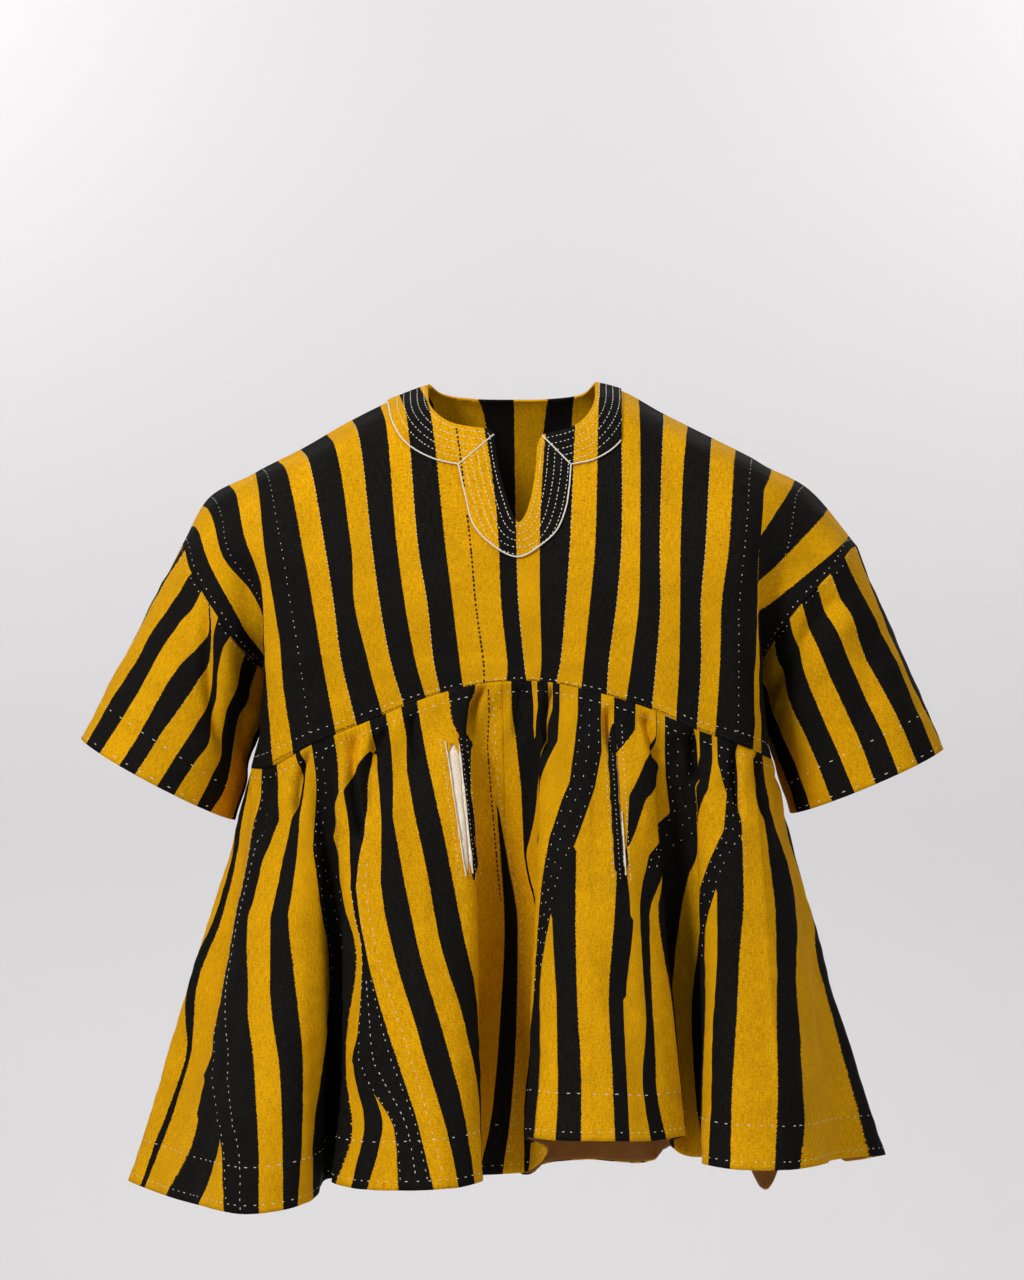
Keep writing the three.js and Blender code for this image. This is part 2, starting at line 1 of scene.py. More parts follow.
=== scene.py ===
import bpy
import numpy as np
from mathutils.bvhtree import BVHTree
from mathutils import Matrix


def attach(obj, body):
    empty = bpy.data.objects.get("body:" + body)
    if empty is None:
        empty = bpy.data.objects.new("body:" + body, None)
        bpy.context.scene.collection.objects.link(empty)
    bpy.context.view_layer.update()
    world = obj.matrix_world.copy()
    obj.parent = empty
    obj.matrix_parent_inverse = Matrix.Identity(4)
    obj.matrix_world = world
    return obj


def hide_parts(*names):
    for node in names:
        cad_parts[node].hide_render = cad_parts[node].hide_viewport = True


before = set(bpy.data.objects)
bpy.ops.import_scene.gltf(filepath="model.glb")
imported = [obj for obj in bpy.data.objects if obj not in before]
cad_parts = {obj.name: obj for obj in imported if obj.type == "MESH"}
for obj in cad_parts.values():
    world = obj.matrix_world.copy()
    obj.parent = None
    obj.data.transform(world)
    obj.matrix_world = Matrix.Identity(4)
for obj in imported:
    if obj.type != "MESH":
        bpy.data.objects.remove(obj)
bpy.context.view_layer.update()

# ---- View ----
# A camera level with the waist, 3 m in front of the shoulder line.
camera = bpy.data.objects.new("camera", bpy.data.cameras.new("camera"))
bpy.context.scene.collection.objects.link(camera)
bpy.context.scene.camera = camera
camera.data.sensor_width = 36
camera.data.lens = 88.8
camera.location = (0, -3, -0.242)
camera.rotation_euler = (np.pi / 2, 0, 0)

# ---- Yoke ----
# The front and back yoke: handwoven cotton strips, each about 45 mm wide and striped in mustard
# yellow and black, sewn edge to edge. They meet on the shoulders and end in the seam of the skirt.
# Sizes are in millimetres, left and right are the viewer's, and face is -1 for the front.


def rows_of(table):
    """The rows of a table whose first row names its columns."""
    names, *rows = table
    return [dict(zip(names, row)) for row in rows]


def curve(points, places, closed=False):
    """Points of the smooth curves through points[n, k], at places[m, k] or places[m]."""
    n, k = points.shape[:2]
    places = np.broadcast_to(np.asarray(places, float).reshape(len(places), -1), (len(places), k))
    if closed:
        start = np.floor(places).astype(int)
        ring = [points[(start + step) % n, np.arange(k)] for step in (-1, 0, 1, 2)]
    else:
        start = np.clip(np.floor(places).astype(int), 0, n - 2)
        wide = np.concatenate([2 * points[:1] - points[1:2], points, 2 * points[-1:] - points[-2:-1]])
        ring = [wide[start + step, np.arange(k)] for step in range(4)]
    part = (places - start)[..., None]
    a, b, c, d = ring
    before, here, after = [
        np.maximum(np.linalg.norm(q - p, axis=-1, keepdims=True), 1e-9) ** 0.5
        for p, q in ((a, b), (b, c), (c, d))
    ]
    leave = here * ((b - a) / before - (c - a) / (before + here) + (c - b) / here)
    arrive = here * ((c - b) / here - (d - b) / (here + after) + (d - c) / after)
    return (
        b
        + leave * part
        + (3 * (c - b) - 2 * leave - arrive) * part**2
        + (2 * (b - c) + leave + arrive) * part**3
    )


SEAM_GAP = 0.3
BACK_DEPTH = 0.92  # of the front's
# How far the cloth has run, come out and fallen where it turns from the shoulder to the chest.
TURN_RUN, TURN_OUT, FRONT_FALL, BACK_FALL = 0.45, 0.58, 0.2, 0.09
YOKE = rows_of([
    ("line", "ridgeX", "ridgeZ", "chestX", "chestY", "chestZ", "underX", "underY", "underZ",
     "armpitX", "armpitY", "armpitZ", "seamX", "seamY", "seamZ"),
    ("sleeve_seam_left", -313, -151, -299, -72, -177, -260, -86, -238, -226, 0, -292, -243, 0, -364),
    ("cap_join_left", -287, -106, -262, -88, -160, -230, -84, -215, -229, -48, -288, -243, -50, -362),
    ("fold_left", -249, -86, -230, -110, -155, -227, -117, -210, -226, -112, -262, -219, -105, -357),
    ("join_1", -237, -79, -211, -120, -155, -202, -126, -210, -193, -128, -262, -182, -128, -337),
    ("join_2", -201, -61, -171, -118, -155, -162, -128, -210, -155, -131, -262, -141, -133, -320),
    ("join_3", -152, -33, -128, -117, -155, -120, -129, -210, -110, -133, -262, -98, -135, -302),
    ("join_4", -106, -11, -86, -115, -155, -77, -128, -210, -71, -133, -262, -65, -136, -290),
    ("join_5", -68, 1, -38, -112, -155, -33, -126, -210, -26, -132, -262, -25, -136, -281),
    ("join_6", 0, 4, 4, -110, -155, 6, -125, -210, 11, -132, -262, 13, -136, -279),
    ("join_7", 65, 3, 53, -112, -155, 49, -126, -210, 44, -132, -262, 40, -136, -281),
    ("join_8", 103, -5, 100, -115, -155, 95, -128, -210, 88, -133, -262, 86, -135, -292),
    ("join_9", 144, -27, 135, -118, -155, 135, -129, -210, 131, -133, -262, 127, -134, -305),
    ("join_10", 190, -50, 177, -118, -155, 172, -128, -210, 172, -130, -262, 168, -132, -324),
    ("join_11", 228, -69, 213, -116, -155, 208, -122, -210, 206, -124, -262, 205, -126, -336),
    ("fold_right", 241, -77, 228, -107, -155, 227, -114, -210, 228, -110, -262, 229, -104, -346),
    ("cap_join_right", 281, -98, 256, -88, -161, 231, -84, -210, 230, -48, -286, 242, -48, -354),
    ("sleeve_seam_right", 328, -153, 304, -72, -172, 258, -86, -219, 229, 0, -292, 244, 0, -356),
])


def yoke_lines(face):
    """The yoke's lines as points[6, lines], from the shoulder down."""
    depth = 1 if face < 0 else BACK_DEPTH
    fall = FRONT_FALL if face < 0 else BACK_FALL
    lines = []
    for row in YOKE:
        out = [-face * depth * row[name] for name in ("chestY", "underY", "armpitY", "seamY")]
        lines.append([
            (row["ridgeX"], face * SEAM_GAP / 2, row["ridgeZ"]),
            (row["ridgeX"] + (row["chestX"] - row["ridgeX"]) * TURN_RUN, out[0] * TURN_OUT,
             row["ridgeZ"] - (row["ridgeZ"] - row["chestZ"]) * fall),
            (row["chestX"], out[0], row["chestZ"]),
            (row["underX"], out[1], row["underZ"]),
            (row["armpitX"], out[2] + face * SEAM_GAP / 2, row["armpitZ"]),
            (row["seamX"], out[3] + face * SEAM_GAP / 2, row["seamZ"]),
        ])
    return np.array(lines, float).transpose(1, 0, 2)


def yoke(face, levels, places):
    """The yoke's surface at levels[l] and at places[m] or places[m, l] across its lines."""
    down = curve(yoke_lines(face), levels)
    return curve(down.transpose(1, 0, 2), places)


# Where each stripe starts, counted in the yoke's lines, at five levels. Stripes take turns.
YOKE_LEVELS = (0, 2, 3, 4, 5)
YOKE_STRIPES = rows_of([
    ("colour", "ridge", "chest", "under", "armpit", "seam"),
    ("black", 0, 0, 0, 0, 0),
    ("yellow", 0.36, 0.45, 0.35, 0.6, 0.7),
    ("black", 0.78, 0.82, 0.9, 0.9, 0.9),
    ("yellow", 1.47, 1.55, 1.9, 1.98, 2),
    ("black", 2.4, 2.15, 2.45, 2.54, 2.56),
    ("yellow", 3.45, 3.52, 3.54, 3.56, 3.55),
    ("black", 4, 4, 4, 4, 4),
    ("yellow", 4.52, 4.56, 4.45, 4.54, 4.54),
    ("black", 5, 5, 5, 5, 5),
    ("yellow", 5.58, 5.55, 5.53, 5.58, 5.6),
    ("black", 6, 6, 6, 6, 6),
    ("yellow", 6.52, 6.52, 6.52, 6.52, 6.52),
    ("black", 7.09, 7.62, 7.6, 7.58, 7.52),
    ("yellow", 8, 8, 8, 8, 8),
    ("black", 8.74, 8.44, 8.46, 8.48, 8.45),
    ("yellow", 9, 9, 9, 9, 9),
    ("black", 9.46, 9.48, 9.47, 9.49, 9.51),
    ("yellow", 10, 10, 10, 10, 10),
    ("black", 10.42, 10.48, 10.5, 10.48, 10.42),
    ("yellow", 11, 11, 11, 11, 11),
    ("black", 11.5, 11.45, 11.48, 11.5, 11.53),
    ("yellow", 12, 12, 12, 12, 12),
    ("black", 12.55, 12.55, 12.51, 12.48, 12.43),
    ("yellow", 14, 14, 13.97, 13.78, 13.6),
    ("black", 14.55, 14.05, 14, 14, 14),
    ("yellow", 15.25, 15, 15, 15.1, 15.1),
    ("black", 15.64, 15.45, 15.15, 15.1, 15.1),
    ("end", 16, 16, 16, 16, 16),
])


def edges_of(stripes, heights, wanted, low, high, sharp=0.0):
    """Where each stripe starts at the wanted heights, as places[stripes, wanted] kept in order.

    The edges are smooth curves, or straight from height to height where sharp is 1."""
    table = np.array([list(row.values())[1:] for row in stripes], float)
    heights, wanted = np.array(heights, float), np.asarray(wanted, float)
    steps = np.diff(table, axis=1) / np.diff(heights)
    before, after = steps[:, :-1], steps[:, 1:]
    total = np.where(before + after == 0, 1, before + after)
    inner = np.where(before * after > 0, 2 * before * after / total, 0)
    slopes = np.concatenate([steps[:, :1], inner, steps[:, -1:]], axis=1)
    i = np.clip(np.searchsorted(heights, wanted, "right") - 1, 0, len(heights) - 2)
    wide = heights[i + 1] - heights[i]
    t = np.clip((wanted - heights[i]) / wide, 0, 1)
    smooth = (
        table[:, i] * (1 + 2 * t) * (1 - t) ** 2
        + table[:, i + 1] * t**2 * (3 - 2 * t)
        + wide * (slopes[:, i] * t * (1 - t) ** 2 - slopes[:, i + 1] * t**2 * (1 - t))
    )
    direct = table[:, i] * (1 - t) + table[:, i + 1] * t
    return np.clip(np.maximum.accumulate(smooth + (direct - smooth) * sharp, axis=0), low, high)


def straight(base, start, end, down, reach):
    """Places where a line that looks straight from the front crosses each level of down."""
    places = np.linspace(*reach, 400)
    first, last = (base([place], np.array([level]))[0, 0] for place, level in (start, end))
    run = last - first
    side = (base(places, down)[..., [0, 2]] - first[[0, 2]]) @ np.array([-run[2], run[0]])
    side *= np.sign(side[-1] - side[0])
    return np.array([np.interp(0, side[:, k], places) for k in range(len(down))])


PINCH = 0.06
NARROWEST = 0.3  # mm of the narrowest stripe that is made


def columns(edges, base, down, steps):
    """A grid's columns, which follow the stripes: places and stripe numbers[m, d], across[m] in mm.

    steps is the widest column in each stripe; 0 leaves the stripe out. Numbers keep short of the
    next stripe where that is pinched out, so that its colour can't show."""
    points = base(edges, down)
    pinched = np.pad(np.diff(edges, axis=0) < 1e-6, ((1, 1), (0, 0)), constant_values=True)
    widths = np.max(np.linalg.norm(np.diff(points, axis=0), axis=-1), axis=1)
    places, numbers, across, start = [], [], [], 0.0
    for i, (width, step) in enumerate(zip(widths, np.broadcast_to(steps, widths.shape))):
        if step and width > NARROWEST:
            first, last = i + PINCH * pinched[i], i + 1 - PINCH * pinched[i + 2]
            for share in np.linspace(0, 1, max(2, int(np.ceil(width / step))) + 1):
                places.append(edges[i] + (edges[i + 1] - edges[i]) * share)
                numbers.append(first + (last - first) * share)
                across.append(start + width * share)
        start += width
    return np.array(places), np.array(numbers), np.array(across)


def ripple(points, size, seed):
    """Soft unevenness between -1 and 1, with bumps about size millimetres across."""
    rng = np.random.default_rng(seed)
    total = 0
    for _ in range(7):
        way = rng.normal(size=3)
        way *= 2 * np.pi / (size * rng.uniform(0.7, 1.6) * np.linalg.norm(way))
        total = total + np.sin(points @ way + rng.uniform(0, 2 * np.pi))
    return total / 4


def bumps(points, table):
    """How far uneven bumps move the cloth. stretch draws them together along X, Y and Z."""
    return sum(row["height"] * ripple(points * row["stretch"], row["size"], row["seed"]) for row in table)


def creases(points, table):
    """How far soft creases move the cloth in or out. Each runs from start to end, on one face."""
    moved = np.zeros(points.shape[:-1])
    flat = points[..., [0, 2]]
    for row in table:
        start, end = (np.array(row[name], float) for name in ("start", "end"))
        run = end - start
        length = np.linalg.norm(run)
        along = (flat - start) @ run / length**2
        bow = 0.05 * length * np.sin(np.pi * along)
        beside = (flat - start) @ np.array([-run[1], run[0]]) / length + bow
        fade = np.clip(np.minimum(along, 1 - along) * 3.5 + 0.5, 0, 1)
        here = points[..., 1] * row["face"] > -25
        moved += here * row["depth"] * np.exp(-((beside / row["half"]) ** 2)) * fade**2 * (3 - 2 * fade)
    return moved


def raised(base, places, down, lift, turn=1):
    """A surface's points moved out by lift(points, places, down), and its normals.

    Down goes from 0 to 1, or over the five levels of the yoke."""
    top = 1 if down.max() <= 1 else 5
    places = np.broadcast_to(np.asarray(places, float).reshape(len(places), -1), (len(places), len(down)))
    aside, below = 0.02, 0.004 * top
    points = base(places, down)
    sideways = base(places + aside, down) - base(places - aside, down)
    downward = base(places, np.minimum(down + below, top)) - base(places, np.maximum(down - below, 0))
    normals = turn * np.cross(downward, sideways)
    normals /= np.maximum(np.linalg.norm(normals, axis=-1, keepdims=True), 1e-9)
    out = np.broadcast_to(lift(points, places, down), points.shape[:-1])
    return points + normals * out[..., None], normals


def grid(points, numbers, across, along, turn=1):
    """A mesh from points[m, d]: vertices, what each carries (stripe, across, along), and triangles."""
    m, d = points.shape[:2]
    numbers = np.broadcast_to(numbers.reshape(m, -1), (m, d))
    carried = np.stack([
        numbers,
        np.broadcast_to(across[:, None], (m, d)),
        np.broadcast_to(along[None, :], (m, d)),
    ], axis=-1)
    step = np.linalg.norm(np.diff(points, axis=0), axis=-1).max(axis=1)
    gaps = np.repeat((np.diff(numbers, axis=0).max(axis=1) >= 1) & (step > 0.5), d - 1)
    i = np.arange(m * d).reshape(m, d)[:, ::turn]
    a, b, c, e = i[:-1, :-1].ravel(), i[:-1, 1:].ravel(), i[1:, 1:].ravel(), i[1:, :-1].ravel()
    faces = np.concatenate([np.stack([a, b, c], 1), np.stack([a, c, e], 1)])
    points, carried = points.reshape(-1, 3), carried.reshape(-1, 3)
    corners = points[faces]
    area = np.linalg.norm(np.cross(corners[:, 1] - corners[:, 0], corners[:, 2] - corners[:, 0]), axis=1)
    return points, carried, faces[(area > 0.01) & ~np.tile(gaps, 2)]


def cloth_on(base, edges, down, steps, lift, fall, turn=1, first=0):
    """A mesh of striped cloth laid on a surface.

    Its columns follow the stripes' edges, lift moves it out, and fall is how many millimetres of
    cloth one unit of down takes. The stripes are numbered from first, and the even ones are dark."""
    places, numbers, across = columns(edges, base, down, steps)
    points, _ = raised(base, places, down, lift, turn)
    return grid(points, numbers + first, across, down * fall, turn)


def clip(mesh, side):
    """The part of the mesh where side, a number for each vertex, is above 0."""
    points, carried, faces = mesh
    side = np.where(np.abs(side) < 1e-3, 1e-3, side)
    rows = list(np.concatenate([points, carried], axis=1))
    above = side[faces] > 0
    count = above.sum(axis=1)
    kept = faces[count == 3].tolist()
    made = {}

    def crossing(a, b):
        key = (min(a, b), max(a, b))
        if key not in made:
            share = side[a] / (side[a] - side[b])
            made[key] = len(rows)
            rows.append(rows[a] + (rows[b] - rows[a]) * share)
        return made[key]

    cut = (count == 1) | (count == 2)
    for face, here in zip(faces[cut].tolist(), above[cut]):
        alone = int(np.argmax(here)) if here.sum() == 1 else int(np.argmin(here))
        a, b, c = (face[(alone + k) % 3] for k in range(3))
        ab, ac = crossing(a, b), crossing(a, c)
        kept += [(a, ab, ac)] if here.sum() == 1 else [(ab, b, c), (ab, c, ac)]
    rows = np.array(rows)
    used, faces = np.unique(np.array(kept), return_inverse=True)
    return rows[used, :3], rows[used, 3:], faces.reshape(-1, 3)


def outside(points, outline):
    """Distance in X and Z from the outline, above 0 outside it; its ends close over the shoulders."""
    line = np.array([(outline[0][0], 90), *outline, (outline[-1][0], 90)], float)
    flat = points[..., [0, 2]]
    nearest = np.full(flat.shape[:-1], 1e9)
    turns = np.zeros(flat.shape[:-1])
    for a, b in zip(line, np.roll(line, -1, axis=0)):
        part = np.clip((flat - a) @ (b - a) / ((b - a) @ (b - a)), 0, 1)
        nearest = np.minimum(nearest, np.linalg.norm(flat - a - part[..., None] * (b - a), axis=-1))
        u, v = a - flat, b - flat
        turns += np.arctan2(u[..., 0] * v[..., 1] - u[..., 1] * v[..., 0], (u * v).sum(axis=-1))
    return np.where(np.abs(turns) > 3, -nearest, nearest)


def linear(colour):
    """A hex colour as the linear numbers that Blender takes."""
    parts = [int(colour[i:i + 2], 16) / 255 for i in (1, 3, 5)]
    return [*(p / 12.92 if p <= 0.04045 else ((p + 0.055) / 1.055) ** 2.4 for p in parts), 1]


def node(tree, kind, links, **settings):
    """Adds a shader node with its settings, and its links or plain values by input."""
    made = tree.nodes.new("ShaderNode" + kind)
    for name, value in settings.items():
        setattr(made, name, value)
    for name, value in links.items():
        if isinstance(value, bpy.types.NodeSocket):
            tree.links.new(value, made.inputs[name])
        else:
            made.inputs[name].default_value = value
    return made


def cotton(name, light, thread, dark=None):
    """Plain-woven cotton: thread is its pitch in millimetres; light and dark are colours of yarn.

    The yarn is uneven, which gives the eye short flecks and slubs along both ways of the weave."""
    material = bpy.data.materials.new(name)
    material.use_nodes = True
    tree = material.node_tree
    tree.nodes.clear()
    cloth = node(tree, "Attribute", {}, attribute_name="cloth").outputs["Vector"]

    def run(across, along, layer):
        """Noise of yarn that changes across times and along times a millimetre."""
        scaled = node(tree, "VectorMath", {0: cloth, 1: (across, along, 1)}, operation="MULTIPLY")
        moved = node(tree, "VectorMath", {0: scaled.outputs[0], 1: (0, 0, layer)})
        return node(tree, "TexNoise", {"Vector": moved.outputs[0], "Scale": 1.0, "Detail": 2.0}).outputs[0]

    def shades(colours):
        """Two shades of one yarn, and a third in its darkest flecks."""
        share = node(tree, "MapRange", {0: grain, 1: 0.8, 2: 1.2}).outputs[0]
        yarn = node(tree, "MixRGB", {0: share, 1: linear(colours[1]), 2: linear(colours[0])}).outputs[0]
        return node(tree, "MixRGB", {0: flecks, 1: yarn, 2: linear(colours[2])}).outputs[0]

    weft = run(0.35 / thread, 0.9 / thread, 0)
    warp = run(1.1 / thread, 0.12 / thread, 7)
    grain = node(tree, "Math", {0: weft, 1: warp}, operation="ADD").outputs[0]
    flecks = node(tree, "MapRange", {0: run(0.25, 0.7, 3), 1: 0.6, 2: 0.7, 4: 0.5}).outputs[0]
    colour = shades(light)
    if dark:
        stripe = node(tree, "Attribute", {}, attribute_name="stripe").outputs["Fac"]
        picks = node(tree, "MapRange", {0: run(0.05, 0.8, 5), 3: -0.05, 4: 0.05}).outputs[0]
        uneven = node(tree, "Math", {0: stripe, 1: picks}, operation="ADD").outputs[0]
        turn = node(tree, "Math", {0: uneven, 1: 2.0}, operation="MODULO").outputs[0]
        is_dark = node(tree, "Math", {0: turn, 1: 1.0}, operation="LESS_THAN").outputs[0]
        colour = node(tree, "MixRGB", {0: is_dark, 1: colour, 2: shades(dark)}).outputs[0]
    wear = node(tree, "MapRange", {0: run(0.02, 0.02, 9), 1: 0.3, 2: 0.7, 3: 0.9, 4: 1.06}).outputs[0]
    colour = node(tree, "HueSaturation", {"Value": wear, "Color": colour}).outputs[0]
    pitch = 2 * np.pi / thread
    turns = node(tree, "VectorMath", {0: cloth, 1: (pitch, pitch, 0)}, operation="MULTIPLY").outputs[0]
    waves = node(tree, "VectorMath", {0: turns}, operation="SINE").outputs[0]
    over = node(tree, "SeparateXYZ", {0: waves}).outputs
    crossings = node(tree, "Math", {0: over[0], 1: over[1]}, operation="MULTIPLY").outputs[0]
    height = node(tree, "Math", {0: crossings, 1: 0.25, 2: grain}, operation="MULTIPLY_ADD").outputs[0]
    bump = node(tree, "Bump", {"Height": height, "Distance": 0.00035, "Strength": 0.6})
    shader = node(tree, "BsdfPrincipled", {
        "Base Color": colour, "Roughness": 0.85, "Normal": bump.outputs[0],
        "Specular IOR Level": 0.06,
    })
    node(tree, "OutputMaterial", {"Surface": shader.outputs[0]})
    return material


# Handspun yarn at about nine threads to the centimetre.
YARN = 1.1
YELLOW = ("#eaac08", "#c98d03", "#7d5204")
BLACK = ("#1b1916", "#0e0d0b", "#2b2720")
striped_cotton = cotton("handwoven_striped_cotton", YELLOW, YARN, BLACK)


def add_piece(name, mesh, material, slot, thick=0):
    """A piece of the garment from a mesh in millimetres; thick makes it a cloth of that thickness."""
    points, carried, faces = mesh
    _, first, weld = np.unique(np.round(points, 3), axis=0, return_index=True, return_inverse=True)
    weld = weld.reshape(-1)
    joined = weld[faces]
    whole = (joined[:, 0] != joined[:, 1]) & (joined[:, 1] != joined[:, 2]) & (joined[:, 2] != joined[:, 0])
    made = bpy.data.meshes.new(name)
    made.from_pydata((points[first] / 1000).tolist(), [], joined[whole].tolist())
    if carried is not None:
        stripe, across, along = carried[faces[whole]].reshape(-1, 3).astype(np.float32).T
        cloth = np.stack([across, along, np.zeros_like(along)], axis=1)
        made.attributes.new("stripe", "FLOAT", "CORNER").data.foreach_set("value", stripe.copy())
        made.attributes.new("cloth", "FLOAT_VECTOR", "CORNER").data.foreach_set("vector", cloth.ravel())
    made.polygons.foreach_set("use_smooth", [True] * len(made.polygons))
    made.materials.append(material)
    piece = bpy.data.objects.new(name, made)
    bpy.context.scene.collection.objects.link(piece)
    if thick:
        shell = piece.modifiers.new("cloth_thickness", "SOLIDIFY")
        shell.thickness = thick / 1000
        shell.offset = -1
    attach(piece, "root")
    return piece


def cut_piece(row, mesh, cloth):
    """A cut piece of cloth, which stands for the CAD node of its name.

    Its row gives the flat cut's width and length in metres, and its area. cloth is its material, slot and
    thickness."""
    piece = add_piece(row["name"] + "_cloth", mesh, *cloth)
    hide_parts(row["name"])


STRIPED = (striped_cotton, "striped_cloth", 1.2)
COLUMN = 3.6  # the widest column of a cloth's grid
YOKE_ROWS, YOKE_COLUMN = 76, 4.4
LEVEL_FALL = 80  # mm of cloth from one level of the yoke to the next
NECK_TRIM = 1  # mm that the yoke is cut back under the neck band's edge
YOKE_CUTS = rows_of([
    ("face", "name", "width", "length", "area"),
    (-1, "front_yoke", 0.68, 0.40, 0.206),
    (1, "back_yoke", 0.68, 0.40, 0.213),
])


def rounded(*runs):
    """A line through each run of points as a smooth curve; runs meet in corners."""
    lines = []
    for run in runs:
        count = len(run) - 1
        places = np.linspace(0, count, count * 6 + 1)
        lines.append(curve(np.array(run, float)[:, None], places)[:, 0])
    return np.concatenate([lines[0], *(line[1:] for line in lines[1:])])


# The neck's edge in X and Z: over the left shoulder, down one side of the slit, and back.
NECK = {
    -1: rounded(
        [(-80, 2), (-77, -21), (-69, -32), (-57, -40), (-40, -44), (-21, -47), (-17, -51)],
        [(-17, -51), (-13, -78), (-7, -103), (2, -129), (6, -134), (11, -129), (16, -116), (21, -90),
         (24, -60), (28, -52)],
        [(28, -52), (54, -45), (67, -36), (76, -21), (79, 3)],
    ),
    1: rounded([(-80, 2), (-68, -4), (-42, -8), (0, -9), (42, -8), (68, -4), (79, 3)]),
}
YOKE_CREASES = rows_of([
    ("face", "start", "end", "half", "depth"),
    (-1, (-245, -150), (-228, -290), 9, -3.0), (-1, (-215, -260), (-180, -330), 14, 2.5),
    (-1, (-150, -90), (-215, -250), 22, -2.5), (-1, (232, -150), (224, -300), 9, -3.0),
    (-1, (205, -230), (214, -330), 12, 2.2), (-1, (150, -80), (215, -240), 24, -2.2),
    (-1, (-60, -180), (-95, -285), 20, 2.0), (-1, (20, -190), (8, -275), 16, 1.8),
    (-1, (95, -200), (110, -300), 18, -1.8), (-1, (-255, -95), (-285, -190), 12, -2.5),
    (-1, (270, -100), (290, -190), 12, -2.2), (-1, (-20, -170), (30, -265), 24, -1.6),
    (-1, (-120, -30), (-170, -75), 9, 1.6), (-1, (130, -25), (180, -70), 9, 1.6),
    (1, (-200, -80), (-120, -300), 24, -3.0), (1, (190, -90), (110, -310), 22, -2.6),
    (1, (-70, -70), (-40, -280), 18, 2.2), (1, (60, -60), (80, -290), 20, -2.0),
    (1, (0, -100), (10, -280), 26, 1.6), (1, (-240, -140), (-230, -300), 12, -3.0),
    (1, (240, -140), (232, -300), 12, -3.0), (1, (-160, -190), (-190, -330), 15, 2.0),
    (1, (150, -200), (190, -320), 15, 2.2),
])
YOKE_BUMPS = rows_of([
    ("height", "size", "seed", "stretch"),
    (0.6, 55, 3, (1, 1, 1)),
    (0.2, 14, 4, (1, 1, 1)),
    (0.35, 24, 6, (1, 1, 1.4)),
])


def yoke_base(face):
    return lambda places, down: yoke(face, down, places)


PUCKER_REACH = 0.3  # in the yoke's levels


def puckers(points):
    """How the gathered seam lifts the cloth on both sides of it."""
    return 1.5 * ripple(points * (1, 1, 0.3), 22, 21)


def yoke_lift(out):
    """The yoke's creases and unevenness, quiet at its edges, on cloth that lies out further."""
    def lift(points, places, down):
        edge = np.clip(np.minimum(down, 5.3 - down) * 1.5, 0, 1)
        uneven = creases(points, YOKE_CREASES) + bumps(points, YOKE_BUMPS)
        return out + uneven * edge + puckers(points) * np.exp(-(5 - down) / PUCKER_REACH)
    return lift


# The stripes of the right shoulder's cap run straight from the shoulder to the fold beside it:
# each edge's place on the shoulder, and the level where it meets the fold.
CAP_FOLD = 14
CAP_EDGES = {23: (14.17, 1.21), 24: (14.7, 1.86), 25: (15.4, 2.62), 26: (15.83, 3.15)}


def yoke_stripes(down):
    """The yoke's stripe edges, with those of the right cap kept straight."""
    edges = edges_of(YOKE_STRIPES, YOKE_LEVELS, down, 0, 16)
    for number, (ridge, level) in CAP_EDGES.items():
        line = straight(yoke_base(-1), (ridge, 0.0), (CAP_FOLD, level), down, (CAP_FOLD, 16))
        below = edges[number] if number == 23 else np.full(len(down), CAP_FOLD)
        edges[number] = np.where(down < level, line, below)
    return np.maximum.accumulate(edges, axis=0)


yoke_down = np.linspace(0, 5, YOKE_ROWS)
yoke_edges = yoke_stripes(yoke_down)
for row in YOKE_CUTS:
    face = row["face"]
    mesh = cloth_on(
        yoke_base(face), yoke_edges, yoke_down, YOKE_COLUMN, yoke_lift(0), LEVEL_FALL, -face,
    )
    mesh = clip(mesh, outside(mesh[0], NECK[face]) - NECK_TRIM)
    cut_piece(row, mesh, STRIPED)

# ---- Neck band ----
# The front and back neck band: the same striped strips laid double round the neck and the slit,
# faced and quilted to the yoke by rows of running stitch that follow the neck's edge.
BAND = {
    -1: rounded(
        [(-119, -16), (-111, -42), (-98, -61), (-74, -75), (-50, -81)],
        [(-50, -81), (-43, -111), (-36, -136), (-22, -153), (5, -167), (28, -155), (42, -141),
         (50, -121), (53, -103), (55, -81)],
        [(55, -81), (79, -75), (100, -60), (111, -39), (119, -12)],
    ),
    1: rounded([(-119, -16), (-100, -31), (-62, -42), (0, -46), (62, -42), (100, -31), (119, -12)]),
}
DOUBLED = (striped_cotton, "striped_cloth", 1.6)
BAND_OUT, BAND_COLUMN = 1.9, 1.7
QUILT_ROW, QUILT_PUFF = 6.5, 0.5
BAND_CUTS = rows_of([
    ("face", "name", "width", "length", "area"),
    (-1, "neck_band_front", 0.24, 0.19, 0.018),
    (1, "neck_band_back", 0.24, 0.08, 0.0125),
])


def band_lift(face):
    """The band lies on the yoke: puffed between its rows of quilting, and thin where it is folded."""
    cloth = yoke_lift(0)

    def lift(points, places, down):
        from_neck = np.maximum(outside(points, NECK[face]), 0)
        from_edge = -outside(points, BAND[face])
        puff = QUILT_PUFF * np.abs(np.sin(np.pi * from_neck / QUILT_ROW)) ** 0.7
        rolled = np.clip(np.minimum(from_neck, from_edge) / 2.5 + 0.35, 0, 1)
        return cloth(points, places, down) + (BAND_OUT + puff) * rolled**0.5
    return lift


